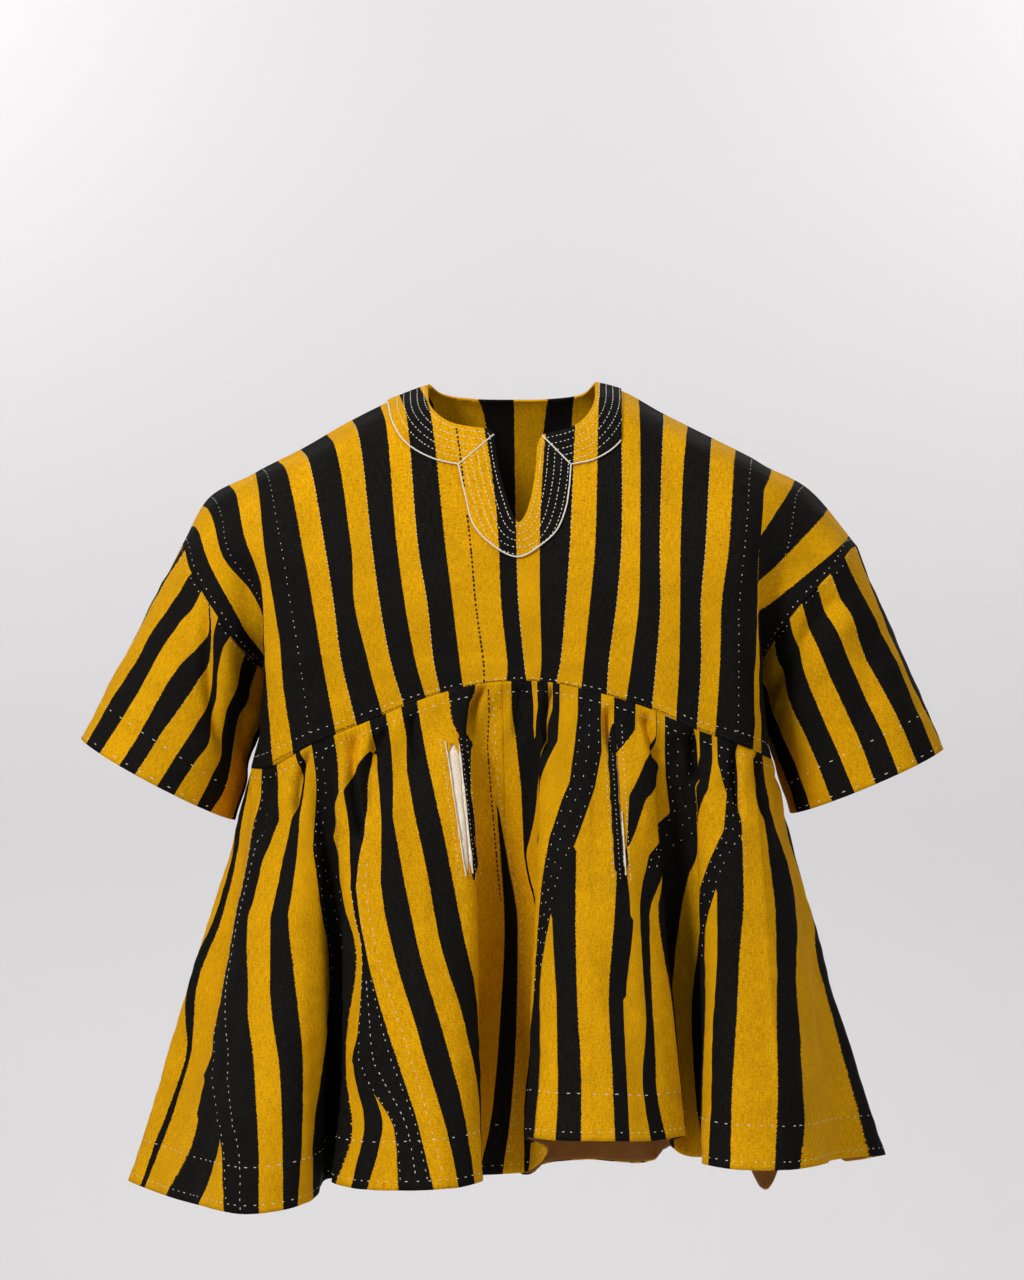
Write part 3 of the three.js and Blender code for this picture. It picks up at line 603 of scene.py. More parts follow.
band_down = np.linspace(0, 2.45, 150)
band_edges = yoke_stripes(band_down)
band_columns = [BAND_COLUMN if 3 < stripe["ridge"] < 10 else 0 for stripe in YOKE_STRIPES[:-1]]
band_meshes = {}
for row in BAND_CUTS:
    face = row["face"]
    mesh = cloth_on(
        yoke_base(face), band_edges, band_down, band_columns, band_lift(face), LEVEL_FALL, -face,
    )
    mesh = clip(mesh, outside(mesh[0], NECK[face]))
    mesh = clip(mesh, -outside(mesh[0], BAND[face]))
    band_meshes[face] = mesh
    cut_piece(row, mesh, DOUBLED)

# ---- Sleeves ----
# Two short, wide, straight tubes of the striped strips, which run round the arm's length from the
# dropped armhole to the hemmed cuff. share goes once round: 0 shoulder, 0.25 front, 0.5 armpit.
SLEEVES = rows_of([
    ("name", "line", "turn", "outer", "inner", "half_depth", "forward", "width", "length", "area"),
    ("sleeve_left", 0, 1, (-407, -335), (-262, -412), 80, -8, 0.40, 0.25, 0.083),
    ("sleeve_right", 16, -1, (408, -344), (263, -406), 80, -8, 0.40, 0.25, 0.083),
])
# Where the stripes of each sleeve's front start, as shares of the way round, at seven levels from
# the armhole to the cuff. They bend where the left sleeve is pleated below the armhole.
SLEEVE_LEVELS = (0, 0.12, 0.25, 0.4, 0.6, 0.8, 1)
SLEEVE_STRIPES = {
    "sleeve_left": [
        (0, 0, 0, 0, 0, 0, 0),
        (0.055, 0.045, 0.025, 0, 0, 0, 0),
        (0.14, 0.1, 0.06, 0.03, 0.01, 0, 0),
        (0.26, 0.225, 0.185, 0.145, 0.11, 0.09, 0.075),
        (0.295, 0.28, 0.25, 0.215, 0.18, 0.15, 0.13),
        (0.315, 0.32, 0.305, 0.275, 0.24, 0.21, 0.185),
        (0.318, 0.328, 0.332, 0.315, 0.285, 0.25, 0.22),
        (0.34, 0.335, 0.343, 0.35, 0.325, 0.295, 0.265),
        (0.375, 0.36, 0.357, 0.365, 0.36, 0.33, 0.3),
        (0.41, 0.405, 0.4, 0.39, 0.395, 0.375, 0.35),
        (0.44, 0.435, 0.43, 0.42, 0.42, 0.415, 0.385),
        (0.495, 0.492, 0.487, 0.48, 0.485, 0.48, 0.46),
    ],
    "sleeve_right": [
        (0.03, 0.052, 0.075, 0.08, 0.074, 0.052, 0.03),
        (0.21, 0.18, 0.15, 0.127, 0.106, 0.097, 0.094),
        (0.28, 0.265, 0.246, 0.222, 0.193, 0.171, 0.155),
        (0.312, 0.302, 0.287, 0.269, 0.241, 0.216, 0.203),
        (0.348, 0.34, 0.328, 0.314, 0.291, 0.267, 0.25),
        (0.38, 0.378, 0.371, 0.356, 0.335, 0.313, 0.292),
        (0.415, 0.42, 0.415, 0.403, 0.384, 0.361, 0.34),
        (0.466, 0.462, 0.456, 0.446, 0.43, 0.412, 0.395),
        (0.49, 0.488, 0.484, 0.478, 0.468, 0.455, 0.445),
    ],
}
SLEEVE_CREASES = rows_of([
    ("face", "start", "end", "half", "depth"),
    (-1, (-281, -205), (-268, -340), 6, -7), (-1, (-322, -230), (-318, -330), 16, 2.5),
    (-1, (-248, -310), (-242, -372), 7, -4), (-1, (-262, -215), (-252, -310), 9, 2.5),
    (-1, (304, -200), (238, -294), 9, -4.5), (-1, (318, -215), (262, -310), 10, 2.2),
    (-1, (-262, -250), (-285, -330), 14, -3), (-1, (-345, -250), (-360, -345), 16, -2.0),
    (-1, (285, -190), (268, -300), 10, -4), (-1, (310, -210), (300, -330), 16, 2.5),
    (-1, (335, -230), (330, -330), 12, -2.5), (-1, (355, -260), (368, -340), 14, 1.8),
    (1, (-300, -200), (-285, -340), 12, -4), (1, (-330, -240), (-345, -340), 16, 2.4),
    (1, (290, -200), (280, -340), 12, -4), (1, (330, -220), (338, -340), 16, 2.4),
])
SLEEVE_BUMPS = rows_of([
    ("height", "size", "seed", "stretch"),
    (1.2, 70, 11, (1, 1, 1)),
    (0.45, 20, 12, (1, 1, 1)),
])


def sleeve_base(row):
    """The sleeve's surface: straight from the armhole to the cuff at each share of the way round."""
    outer, inner = (np.array(row[name], float) for name in ("outer", "inner"))

    def base(places, down):
        places = np.broadcast_to(np.asarray(places).reshape(len(places), -1), (len(places), len(down)))
        share = np.abs(places) % 1
        level = 8 * np.minimum(share, 1 - share)
        ways = [
            curve(yoke_lines(face)[:, [row["line"]]], level.reshape(-1))[:, 0].reshape(*level.shape, 3)
            for face in (-1, 1)
        ]
        hole = np.where((share <= 0.5)[..., None], *ways)
        # The front and the back of the armhole meet on the shoulder and under the arm.
        hole[..., 1] *= np.clip(level * 4, 0, 1) * np.clip((4 - level) * 4, 0, 1)
        turn = 2 * np.pi * places
        cuff = np.stack([
            (outer[0] + inner[0]) / 2 + (outer[0] - inner[0]) / 2 * np.cos(turn),
            row["forward"] - row["half_depth"] * np.sin(turn),
            (outer[1] + inner[1]) / 2 + (outer[1] - inner[1]) / 2 * np.cos(turn),
        ], axis=-1)
        return hole + (cuff - hole) * np.asarray(down)[None, :, None]
    return base


def sleeve_lift(out):
    """The sleeve's creases and unevenness, which start just below its seam."""
    def lift(points, places, down):
        soft = creases(points, SLEEVE_CREASES) + bumps(points, SLEEVE_BUMPS)
        return out + soft * np.clip(down * 6, 0, 1)
    return lift


def sleeve_stripes(name, down):
    """The stripes' edges once round the sleeve: the front's, then the same kept straight behind."""
    front = [dict(enumerate((0, *edge))) for edge in SLEEVE_STRIPES[name]]
    front = edges_of(front, SLEEVE_LEVELS, down, 0, 0.5)
    ends = np.array(SLEEVE_STRIPES[name])[::-1, [0, -1]]
    back = 1 - (ends[:, :1] + (ends[:, 1:] - ends[:, :1]) * down)
    return np.maximum.accumulate(np.concatenate([
        np.zeros((1, len(down))), front, back, np.ones((1, len(down))),
    ]), axis=0)


SLEEVE_ROWS, SLEEVE_FALL = 60, 230
sleeve_down = np.linspace(0, 1, SLEEVE_ROWS)
for row in SLEEVES:
    edges = sleeve_stripes(row["name"], sleeve_down)
    mesh = cloth_on(
        sleeve_base(row), edges, sleeve_down, COLUMN, sleeve_lift(0), SLEEVE_FALL, row["turn"],
    )
    cut_piece(row, mesh, STRIPED)

# ---- Skirt ----
# The gathered skirt: eight panels of the same sewn strips, hung from the yoke's seam in deep folds,
# and four small gores let in at the hem of the front to widen it.
SKIRT_FRONT = rows_of([
    ("fold", "along", "midX", "midY", "hemX", "hemY", "hemZ"),
    ("side_left", -330, -272, 4, -324, 36, -768),
    ("edge_left", -300, -298, -36, -356, -46, -748),
    ("crease_left", -285, -273, -66, -328, -94, -750),
    ("flare_1_left", -262, -258, -116, -282, -166, -749),
    ("flare_1_ridge", -240, -228, -156, -233, -218, -748),
    ("flare_1_right", -215, -196, -164, -193, -208, -744),
    ("flare_1_edge", -195, -171, -146, -176, -168, -741),
    ("valley_12", -182, -164, -108, -170, -108, -736),
    ("flare_2_under", -172, -152, -120, -153, -132, -731),
    ("flare_2_edge", -165, -152, -146, -161, -176, -727),
    ("flare_2_left", -150, -134, -166, -134, -217, -726),
    ("flare_2_ridge", -115, -87, -178, -85, -235, -724),
    ("flare_2_right", -75, -51, -172, -46, -226, -723),
    ("flare_2_fold", -39, -31, -155, -27, -196, -722),
    ("valley_23_under", -34, -40, -122, -44, -146, -728),
    ("valley_23_left", -28, -27, -98, -29, -104, -733),
    ("valley_23", -10, -6, -92, -9, -92, -734),
    ("valley_23_right", 8, 16, -98, 14, -100, -730),
    ("flare_3_under", 14, 29, -122, 30, -148, -704),
    ("flare_3_edge", 21, 21, -149, 10, -196, -684),
    ("flare_3_left", 40, 43, -170, 40, -230, -681),
    ("flare_3_ridge", 75, 79, -178, 81, -240, -680),
    ("flare_3_right", 105, 113, -168, 121, -226, -682),
    ("flare_3_fold", 122, 138, -146, 156, -184, -684),
    ("valley_34_under", 128, 136, -116, 143, -136, -698),
    ("valley_34", 142, 153, -95, 160, -98, -716),
    ("flare_4_under", 155, 173, -112, 181, -134, -712),
    ("flare_4_edge", 162, 171, -140, 170, -184, -709),
    ("flare_4_left", 185, 193, -163, 198, -216, -709),
    ("flare_4_ridge", 220, 234, -160, 244, -212, -710),
    ("flare_4_right", 250, 264, -128, 282, -166, -712),
    ("crease_right", 272, 274, -94, 297, -118, -716),
    ("edge_right", 300, 291, -46, 345, -60, -722),
    ("side_right", 330, 272, 6, 318, 32, -742),
])
SKIRT_BACK = rows_of([
    ("flare", "centre", "half", "reach", "valley", "hemZ", "valleyZ"),
    ("side_flare_right", 298, 36, 128, 66, -746, -778),
    ("flare_5", 194, 42, 196, 92, -750, -752),
    ("flare_6", 76, 46, 214, 96, -770, -766),
    ("flare_7", -52, 48, 218, 92, -768, -764),
    ("flare_8", -182, 44, 200, 84, -764, -768),
    ("side_flare_left", -296, 36, 132, 66, -766, -766),
])
SEAM_HALF = 330  # mm of seam from the middle of the front to a side
SIDE, ROUND = 33, 57  # the fold where the back starts, and the number of folds
# Each flare of the back has a ridge and two flanks: how far out these are, across and in depth, and
# the share of its depth that a flare has reached half-way down.
FLANK, FLANK_REACH, BACK_MIDDLE = 0.72, 0.82, 0.42


def run_of(line):
    """How far along a line of points each point is."""
    return np.concatenate([[0], np.cumsum(np.linalg.norm(np.diff(line, axis=0), axis=1))])


def along_line(line, lengths, where):
    """What a line carries at each length in where; lengths are its points' own."""
    return np.stack([np.interp(where, lengths, values) for values in line.T], axis=-1)


def on_edge(points, share):
    """A point a share of the way along a line of points."""
    lengths = run_of(points)
    return along_line(points, lengths, share * lengths[-1])


def fold_ring():
    """The skirt's folds, each as its seam, middle and hem points: the front's, then the back's."""
    places = np.linspace(0, 16, 33)
    edges = {face: yoke(face, [5], places)[:, 0] for face in (-1, 1)}
    ring = []
    for row in SKIRT_FRONT:
        seam = on_edge(edges[-1], (row["along"] + SEAM_HALF) / (2 * SEAM_HALF))
        hem = np.array([row["hemX"], row["hemY"], row["hemZ"]], float)
        ring.append((seam, (row["midX"], row["midY"], (seam[2] + hem[2]) / 2), hem))
    for i, row in enumerate(SKIRT_BACK):
        folds = [
            (1 - (i + 0.5 + side * 0.4) / 6, row["centre"] - side * row["half"] * 1.12,
             row["valley"] + (row["reach"] - row["valley"]) * reach, row["hemZ"])
            for side, reach in ((-FLANK, FLANK_REACH), (0, 1), (FLANK, FLANK_REACH))
        ]
        if i < 5:
            after = SKIRT_BACK[i + 1]
            between = (row["centre"] - row["half"] + after["centre"] + after["half"]) / 2
            folds.append((1 - (i + 1) / 6, between, (row["valley"] + after["valley"]) / 2, row["valleyZ"]))
        for share, x, y, z in folds:
            seam = on_edge(edges[1], share)
            hem = np.array([x, y, z], float)
            middle = (seam + hem) / 2
            middle[1] = seam[1] + (hem[1] - seam[1]) * BACK_MIDDLE
            ring.append((seam, middle, hem))
    return np.array(ring)


RING = fold_ring()


def skirt(places, drops):
    """The skirt's surface at places[m] or places[m, d] round the folds, and at drops[d] down it."""
    drop = np.asarray(drops)[None, :, None]
    seam, middle, hem = (RING[:, i][:, None] for i in range(3))
    folds = (
        seam * 2 * (drop - 0.5) * (drop - 1)
        + middle * 4 * drop * (1 - drop)
        + hem * 2 * drop * (drop - 0.5)
    )
    return curve(folds, places, True)


# Where each stripe of the front starts, counted in folds, at eight drops from seam to hem. Equal
# places pinch a stripe out: the strips are cut on the slant or taken up in the gathers there.
DROPS = (0.06, 0.13, 0.22, 0.35, 0.5, 0.7, 0.88, 1)
SKIRT_STRIPES = rows_of([
    ("cloth", "d6", "d13", "d22", "d35", "d50", "d70", "d88", "hem"),
    ("black", 0, 0, 0, 0, 0, 0, 0, 0),
    ("yellow", 0.4, 0.4, 0.4, 0.4, 0.4, 0.4, 0.4, 0.4),
    ("black", 1, 1, 1.36, 1.35, 1, 1.63, 1.56, 1.59),
    ("yellow", 1.6, 1.6, 1.62, 1.59, 1.4, 1.72, 1.72, 1.7),
    ("gore_1", 3.54, 3.37, 3.29, 2.89, 2.34, 2.72, 2.41, 2.3),
    ("gore_1", 3.54, 3.37, 3.29, 2.89, 2.34, 2.72, 3.25, 3),
    ("black_3", 3.54, 3.37, 3.29, 2.89, 2.34, 2.72, 3.42, 3.58),
    ("yellow", 4.67, 4.71, 3.96, 3.53, 3.68, 4, 4.19, 4.24),
    ("black", 5.77, 5.23, 4.73, 4.29, 4.32, 4.61, 4.7, 4.75),
    ("yellow", 6.06, 5.56, 5.31, 4.87, 5.03, 5.22, 5.21, 5.15),
    ("black_7", 7, 6.66, 5.98, 6.12, 6.7, 5.97, 5.6, 5.77),
    ("yellow_8", 9.33, 9.3, 7.75, 9.04, 9.77, 9.27, 9.69, 9.31),
    ("gore_2", 10.55, 9.56, 9.71, 9.64, 9.96, 9.75, 9.93, 9.75),
    ("gore_2", 10.55, 9.56, 9.71, 9.64, 9.96, 9.75, 10.22, 10.16),
    ("black_9", 10.55, 9.56, 9.71, 9.64, 9.96, 9.75, 10.6, 10.71),
    ("yellow_10", 10.6, 10.36, 10.24, 9.87, 10.1, 10.54, 11.04, 11.39),
    ("black", 10.64, 10.65, 10.6, 10.46, 10.61, 11.05, 11.61, 11.97),
    ("yellow", 11.04, 10.96, 10.83, 10.9, 11.08, 11.6, 12.14, 12.52),
    ("black", 11.4, 11.28, 11.3, 11.43, 11.59, 12.26, 12.86, 12.88),
    ("yellow_slit", 11.75, 11.77, 11.85, 12.02, 12.3, 12.96, 13, 13.3),
    # The black stripe on the next line is the cloth's own near the seam; from drop 0.5 down it is widened to
    # fill the dark gap under flare 2's fold, painted shade of that fold.
    ("black", 12.45, 12.69, 12.72, 13.15, 13.5, 13.5, 13.5, 13.5),
    ("yellow_16", 14.16, 12.92, 12.85, 13.28, 14.4, 14.6, 14.7, 14.8),
    ("black", 15.47, 15.47, 15.6, 15.8, 15.96, 15.78, 15.49, 14.96),
    ("yellow_18", 15.47, 15.47, 15.6, 16.06, 16.49, 16.45, 16.28, 16.01),
    ("black", 16.37, 16.54, 16.71, 16.78, 17.38, 17.13, 16.8, 16.9),
    ("yellow", 18.08, 17.8, 17.2, 16.8, 17.5, 17.4, 17.2, 17.1),
    ("black", 18.78, 17.8, 17.2, 16.8, 17.5, 17.4, 17.2, 17.1),
    ("yellow", 19.45, 19.12, 17.91, 16.89, 17.5, 17.4, 17.2, 17.1),
    ("black", 19.65, 19.24, 18, 17.5, 17.5, 17.4, 17.2, 17.1),
    ("yellow", 19.93, 19.87, 19.1, 17.5, 17.5, 17.4, 17.2, 17.1),
    ("black_slant", 20.43, 20.36, 20.24, 19.58, 19.29, 19.17, 18.6, 18.53),
    ("gore_3", 20.99, 21.03, 20.86, 20.42, 19.74, 19.4, 19.5, 19.45),
    ("black", 20.99, 21.03, 20.86, 20.42, 19.74, 19.9, 19.97, 19.95),
    ("yellow_21", 20.99, 21.03, 20.86, 20.43, 20.42, 20.46, 20.53, 20.51),
    ("black", 21.35, 21.35, 21.42, 21.44, 21.36, 21.18, 21.21, 21.22),
    ("yellow_slit", 22.01, 21.42, 21.46, 21.63, 21.79, 21.53, 21.53, 21.54),
    ("black_slit", 23.2, 22.39, 21.79, 21.7, 21.85, 21.6, 21.6, 21.6),
    ("yellow_slit", 23.3, 23.93, 22.39, 21.72, 21.86, 21.6, 21.6, 21.6),
    ("black_24", 24.31, 24.46, 24.7, 22.47, 22.08, 22.11, 21.94, 22.02),
    ("yellow", 26.19, 25.83, 26.78, 23.6, 22.39, 22.3, 22.27, 22.36),
    ("black", 26.19, 25.83, 26.78, 23.6, 22.71, 22.9, 23, 23.2),
    ("yellow", 26.6, 26.2, 26.79, 25.5, 24.97, 24.6, 24.45, 24.4),
    ("black", 27.11, 26.75, 26.8, 26.9, 25.9, 25.4, 25.45, 25.7),
    ("yellow", 27.63, 27.48, 26.82, 26.9, 25.9, 25.4, 25.45, 25.7),
    ("black_28", 27.81, 28.1, 28, 27.17, 25.96, 25.45, 25.5, 25.8),
    ("gore_4", 28.44, 28.44, 28.45, 27.75, 27.22, 27.18, 27.02, 26.45),
    ("black", 28.44, 28.44, 28.45, 27.75, 27.72, 27.52, 27.41, 27.28),
    ("yellow_30", 28.44, 28.44, 28.45, 28.45, 28.3, 28.14, 27.95, 27.85),
    ("black", 29.1, 29.17, 29.18, 29.23, 29.15, 28.95, 28.83, 28.72),
    ("yellow", 29.6, 29.7, 29.98, 30.3, 29.86, 29.61, 29.44, 29.25),
    ("black", 31.6, 31.6, 31.6, 32, 31.6, 31.6, 31.6, 31.6),
    ("yellow", 32.4, 32.4, 32.4, 32.4, 32.4, 32.4, 32.4, 32.4),
    ("end", 33, 33, 33, 33, 33, 33, 33, 33),
])
STRIPS = [row["cloth"] for row in SKIRT_STRIPES[:-1]]
# Gores open from a tip: how far down it is, and the width in folds of each leg at the hem. The yellow
# leg of a gore with two opens lower down.
GORES = rows_of([
    ("name", "tip", "black_wide", "yellow_tip", "yellow_wide", "panel", "width", "length", "area"),
    ("gore_1", 0.66, 0.7, 0.85, 0.56, "skirt_front_1", 0.088, 0.150, 0.0066),
    ("gore_2", 0.67, 0.41, 0.8, 0.55, "skirt_front_2", 0.046, 0.145, 0.0033),
    ("gore_3", 0.5, 0, 0, 0, "skirt_front_3", 0.030, 0.220, 0.0035),
    ("gore_4", 0.35, 0, 0, 0, "skirt_front_4", 0.030, 0.285, 0.0040),
])
# The panels, from one fold to another.
PANELS = rows_of([
    ("name", "low", "high", "width", "length", "area"),
    ("skirt_front_1", 0, 7, 0.454, 0.416, 0.114),
    ("skirt_front_2", 7, 16, 0.380, 0.459, 0.114),
    ("skirt_front_3", 16, 25, 0.427, 0.459, 0.112),
    ("skirt_front_4", 25, 33, 0.473, 0.406, 0.121),
    ("skirt_back_1", 33, 41, 0.479, 0.453, 0.132),
    ("skirt_back_2", 41, 45, 0.296, 0.496, 0.089),
    ("skirt_back_3", 45, 49, 0.311, 0.496, 0.092),
    ("skirt_back_4", 49, 57, 0.492, 0.459, 0.139),
])
BACK_STRIPES = 61
FRONT_COLUMN, SLIT_COLUMN = 3.0, 1.2  # the widest columns of the front, and of those beside a slit
SKIRT_DROP = 440  # mm of cloth from the seam to the hem
THINNEST = 0.07  # in folds; a stripe that is thinner is pinched out
SHARP_ABOVE = 0.42  # above this drop the gathers turn the stripes in sharp corners
# The left and the right pocket slit, each from top to bottom with half its width there.
SLITS = rows_of([
    ("panel", "top", "half_top", "bottom", "half_bottom", "welt_side", "welt_wide"),
    ("skirt_front_2", (-54, -334), 5.7, (-39, -455), 2.6, 1, 5),
    ("skirt_front_3", (94, -322), 0.6, (101, -456), 0.6, -1, 7.5),
])
SKIRT_CREASES = rows_of([
    ("face", "start", "end", "half", "depth"),
    (-1, (-215, -370), (-262, -740), 9, 2.5), (-1, (-180, -350), (-215, -560), 12, -2.2),
    (-1, (-120, -340), (-70, -520), 14, 2.0), (-1, (-75, -420), (-58, -715), 8, 2.2),
    (-1, (60, -330), (92, -640), 12, 2.0), (-1, (150, -330), (128, -560), 10, -2.0),
    (-1, (210, -360), (214, -700), 12, 2.4), (-1, (240, -370), (290, -640), 12, -2.4),
    (-1, (-128, -560), (-118, -720), 12, -1.8), (-1, (50, -470), (48, -670), 10, -1.8),
    (1, (200, -380), (215, -730), 14, 2.6), (1, (120, -360), (100, -600), 14, -2.4),
    (1, (40, -330), (60, -620), 12, 2.2), (1, (-40, -400), (-60, -740), 14, 2.4),
    (1, (-150, -360), (-190, -640), 12, -2.4), (1, (-230, -380), (-250, -720), 12, 2.2),
])
# Tucks under the seam, where the gathers fold the cloth in sharply.
TUCKS = rows_of([
    ("face", "start", "end", "half", "depth"),
    (-1, (-26, -285), (-38, -330), 3.8, -11), (-1, (36, -286), (27, -345), 3.8, -11),
    (-1, (86, -306), (92, -345), 3.4, -9), (-1, (122, -310), (134, -350), 4, -9),
    (-1, (163, -322), (166, -370), 4, -11), (-1, (205, -330), (207, -400), 4, -9),
    (-1, (-187, -345), (-198, -400), 4, -9), (-1, (-144, -330), (-138, -420), 4.5, -12),
    (-1, (-124, -330), (-132, -400), 4, -9), (-1, (-114, -322), (-126, -362), 3.4, -8),
    (-1, (-90, -310), (-86, -350), 3.4, -7), (-1, (8, -284), (6, -330), 4, -7),
    (-1, (-222, -362), (-230, -420), 4, -8), (-1, (225, -345), (232, -400), 4, -7),
    (1, (-190, -330), (-196, -390), 4.5, -11), (1, (-120, -310), (-126, -380), 4, -9),
    (1, (-60, -292), (-64, -360), 4.5, -11), (1, (-8, -285), (-6, -350), 4, -9),
    (1, (48, -288), (52, -360), 4.5, -11), (1, (110, -308), (116, -370), 4, -9),
    (1, (170, -325), (178, -400), 4.5, -11), (1, (214, -345), (224, -410), 4, -8),
])
SKIRT_BUMPS = rows_of([
    ("height", "size", "seed", "stretch"),
    (1.6, 60, 22, (1, 1, 0.22)),
    (0.8, 24, 23, (1, 1, 0.22)),
    (0.35, 16, 24, (1, 1, 1)),
])
SIDE_FOLDS, SIDE_START = 6.5, 235  # mm of soft folds at the sides, and how far out they start
GATHER_REACH = 0.13  # the share of the drop in which the gathers die away
# Narrow creases sewn into two yellow stripes: the place and half-width of each, and their height.
SEWN_CREASES, SEWN_HEIGHT = [(20.72, 0.05), (28.9, 0.05)], 0.9


def skirt_lift(out):
    """Gathers under the seam that die away, long soft folds, and the creases."""
    def lift(points, places, down):
        gathers = puckers(points) * (1 + 1.2 * np.clip(down * 30, 0, 1)) * np.exp(-down / GATHER_REACH)
        sewn = sum(np.exp(-(((places - at) / half) ** 2)) for at, half in SEWN_CREASES)
        soft = creases(points, SKIRT_CREASES) + bumps(points, SKIRT_BUMPS)
        gathers += creases(points, TUCKS) * np.clip(down * 40, 0, 1)
        at_side = np.clip((np.abs(points[..., 0]) - SIDE_START) / 60, 0, 1)
        at_side = at_side * np.clip(down * 2.5 - 0.1, 0, 1)
        soft += SIDE_FOLDS * at_side * ripple(points * (0, 1, 0.12), 75, 25)
        return out + gathers + soft * np.clip(down * 8, 0, 1) + SEWN_HEIGHT * sewn
    return lift


def slit_side(points, row):
    """Distance in X from the middle of a pocket slit, less half its width there."""
    (x0, z0), (x1, z1) = row["top"], row["bottom"]
    down = (points[..., 2] - z0) / (z1 - z0)
    middle = x0 + (x1 - x0) * down
    half = row["half_top"] + (row["half_bottom"] - row["half_top"]) * np.clip(down, 0, 1)
    end = np.clip(np.minimum(down, 1 - down) * 9, -1, 1)
    side = np.abs(points[..., 0] - middle) - half * end
    return np.where(points[..., 1] < 0, side, 99)


def opened(tip, down):
    """How far a gore has opened, from 0 at its tip to 1 at the hem."""
    return np.clip((down - tip) / (1 - tip), 0, 1)


def front_stripes(down):
    """The front's stripe edges with the gores let in."""
    sharp = np.clip((SHARP_ABOVE - down) / 0.1, 0, 1)
    edges = edges_of(SKIRT_STRIPES, DROPS, down, 0, SIDE, sharp)
    for start, end in zip(edges, edges[1:]):
        end[:] = np.where(end - start < THINNEST, start, end)
    for row in GORES:
        first = STRIPS.index(row["name"])
        if row["black_wide"]:
            yellow = row["yellow_wide"] * opened(row["yellow_tip"], down)
            both = (row["black_wide"] + row["yellow_wide"]) * opened(row["tip"], down)
            edges[first + 1] = edges[first + 2] - yellow
            edges[first] = edges[first + 2] - np.maximum(both, yellow)
        else:
            edges[first] = np.where(down < row["tip"], edges[first + 1], edges[first])
    return edges


skirt_down = np.concatenate([np.linspace(0, 0.14, 26)[:-1], np.linspace(0.14, 1, 90)])
back_down = np.concatenate([np.linspace(0, 0.12, 14)[:-1], np.linspace(0.12, 1, 62)])
front_edges = front_stripes(skirt_down)
# The back's stripes: uneven shares of the way round, at the seam and at the hem.
around = np.linspace(SIDE, ROUND, 400)
steps = np.linalg.norm(np.diff(skirt(around, [0.0, 1.0]), axis=0), axis=-1)
lengths = np.concatenate([np.zeros((1, 2)), np.cumsum(steps, axis=0)])
parts = np.concatenate([[0], np.cumsum(np.random.default_rng(5).uniform(0.75, 1.25, BACK_STRIPES))])
parts /= parts[-1]
at_seam, at_hem = (np.interp(parts * lengths[-1, i], lengths[:, i], around) for i in (0, 1))
back_edges = at_seam[:, None] + (at_hem - at_seam)[:, None] * back_down
front_columns = [
    0 if strip.startswith("gore") else SLIT_COLUMN if strip.endswith("slit") else FRONT_COLUMN
    for strip in STRIPS
]
for row in PANELS:
    front = row["low"] < SIDE
    down = skirt_down if front else back_down
    edges = np.clip(front_edges if front else back_edges, row["low"], row["high"])
    steps = front_columns if front else COLUMN
    mesh = cloth_on(skirt, edges, down, steps, skirt_lift(0), SKIRT_DROP, first=0 if front else 1)
    for slit in SLITS:
        if slit["panel"] == row["name"]:
            mesh = clip(mesh, slit_side(mesh[0], slit))
    cut_piece(row, mesh, STRIPED)

for row in GORES:
    drops = skirt_down[skirt_down > row["tip"] - 0.01]
    gore_columns = [FRONT_COLUMN if strip == row["name"] else 0 for strip in STRIPS]
    mesh = cloth_on(skirt, front_stripes(drops), drops, gore_columns, skirt_lift(0), SKIRT_DROP)
    cut_piece(row, mesh, STRIPED)

# ---- Pockets ----
# Two slit pockets: a cream cotton bag hangs behind each slit, its raw edge frays out of the opening,
# and a narrow black strip is stitched down one of the slit's edges.
CREAM = ("#fdf2df", "#f3e4ca", "#cfb791")
FINE_YARN = 0.6
cream_lining = cotton("plain_cream_cotton", CREAM, FINE_YARN)
black_cotton = cotton("handwoven_black_cotton", BLACK, YARN)
CREAM_BAG = (cream_lining, "cream_lining", 0.8)
BLACK_STRIP = (black_cotton, "black_cloth", 1.0)
# Each bag, from one fold of the skirt to another, with the frayed edges on it.
BAGS = rows_of([
    ("name", "low", "high", "width", "length", "area", "frays"),
    ("pocket_bag_left", 10.6, 13.3, 0.110, 0.180, 0.0174, ["frayed_edge_left", "frayed_edge_left_lip"]),
    ("pocket_bag_right", 20.5, 22.8, 0.075, 0.170, 0.0113, ["frayed_edge_right"]),
])
WELTS = rows_of([
    ("name", "width", "length", "area"),
    ("pocket_welt_left", 0.010, 0.130, 0.0012),
    ("pocket_welt_right", 0.010, 0.140, 0.0013),
])
FRAYS = rows_of([
    ("name", "slit", "side", "start", "end", "points", "width", "seed"),
    ("frayed_edge_left", 0, 1, 0.02, 0.98, 110, 2.4, 31),
    ("frayed_edge_left_lip", 0, -1, 0.0, 1.0, 110, 1.4, 33),
    ("frayed_edge_right", 1, 1, 0.56, 0.98, 70, 2.0, 32),
])
BAG_DROPS, BAG_INSIDE, BAG_BULGE = (0.05, 0.45), 1.9, 2.3
WELT_OUT = 1.5
SLIT_LENGTH = 120  # mm
PAST_SLIT = 0.03  # how far the strip runs past both ends, as a share of the slit's length
KNOTS = 24  # waves in a frayed edge

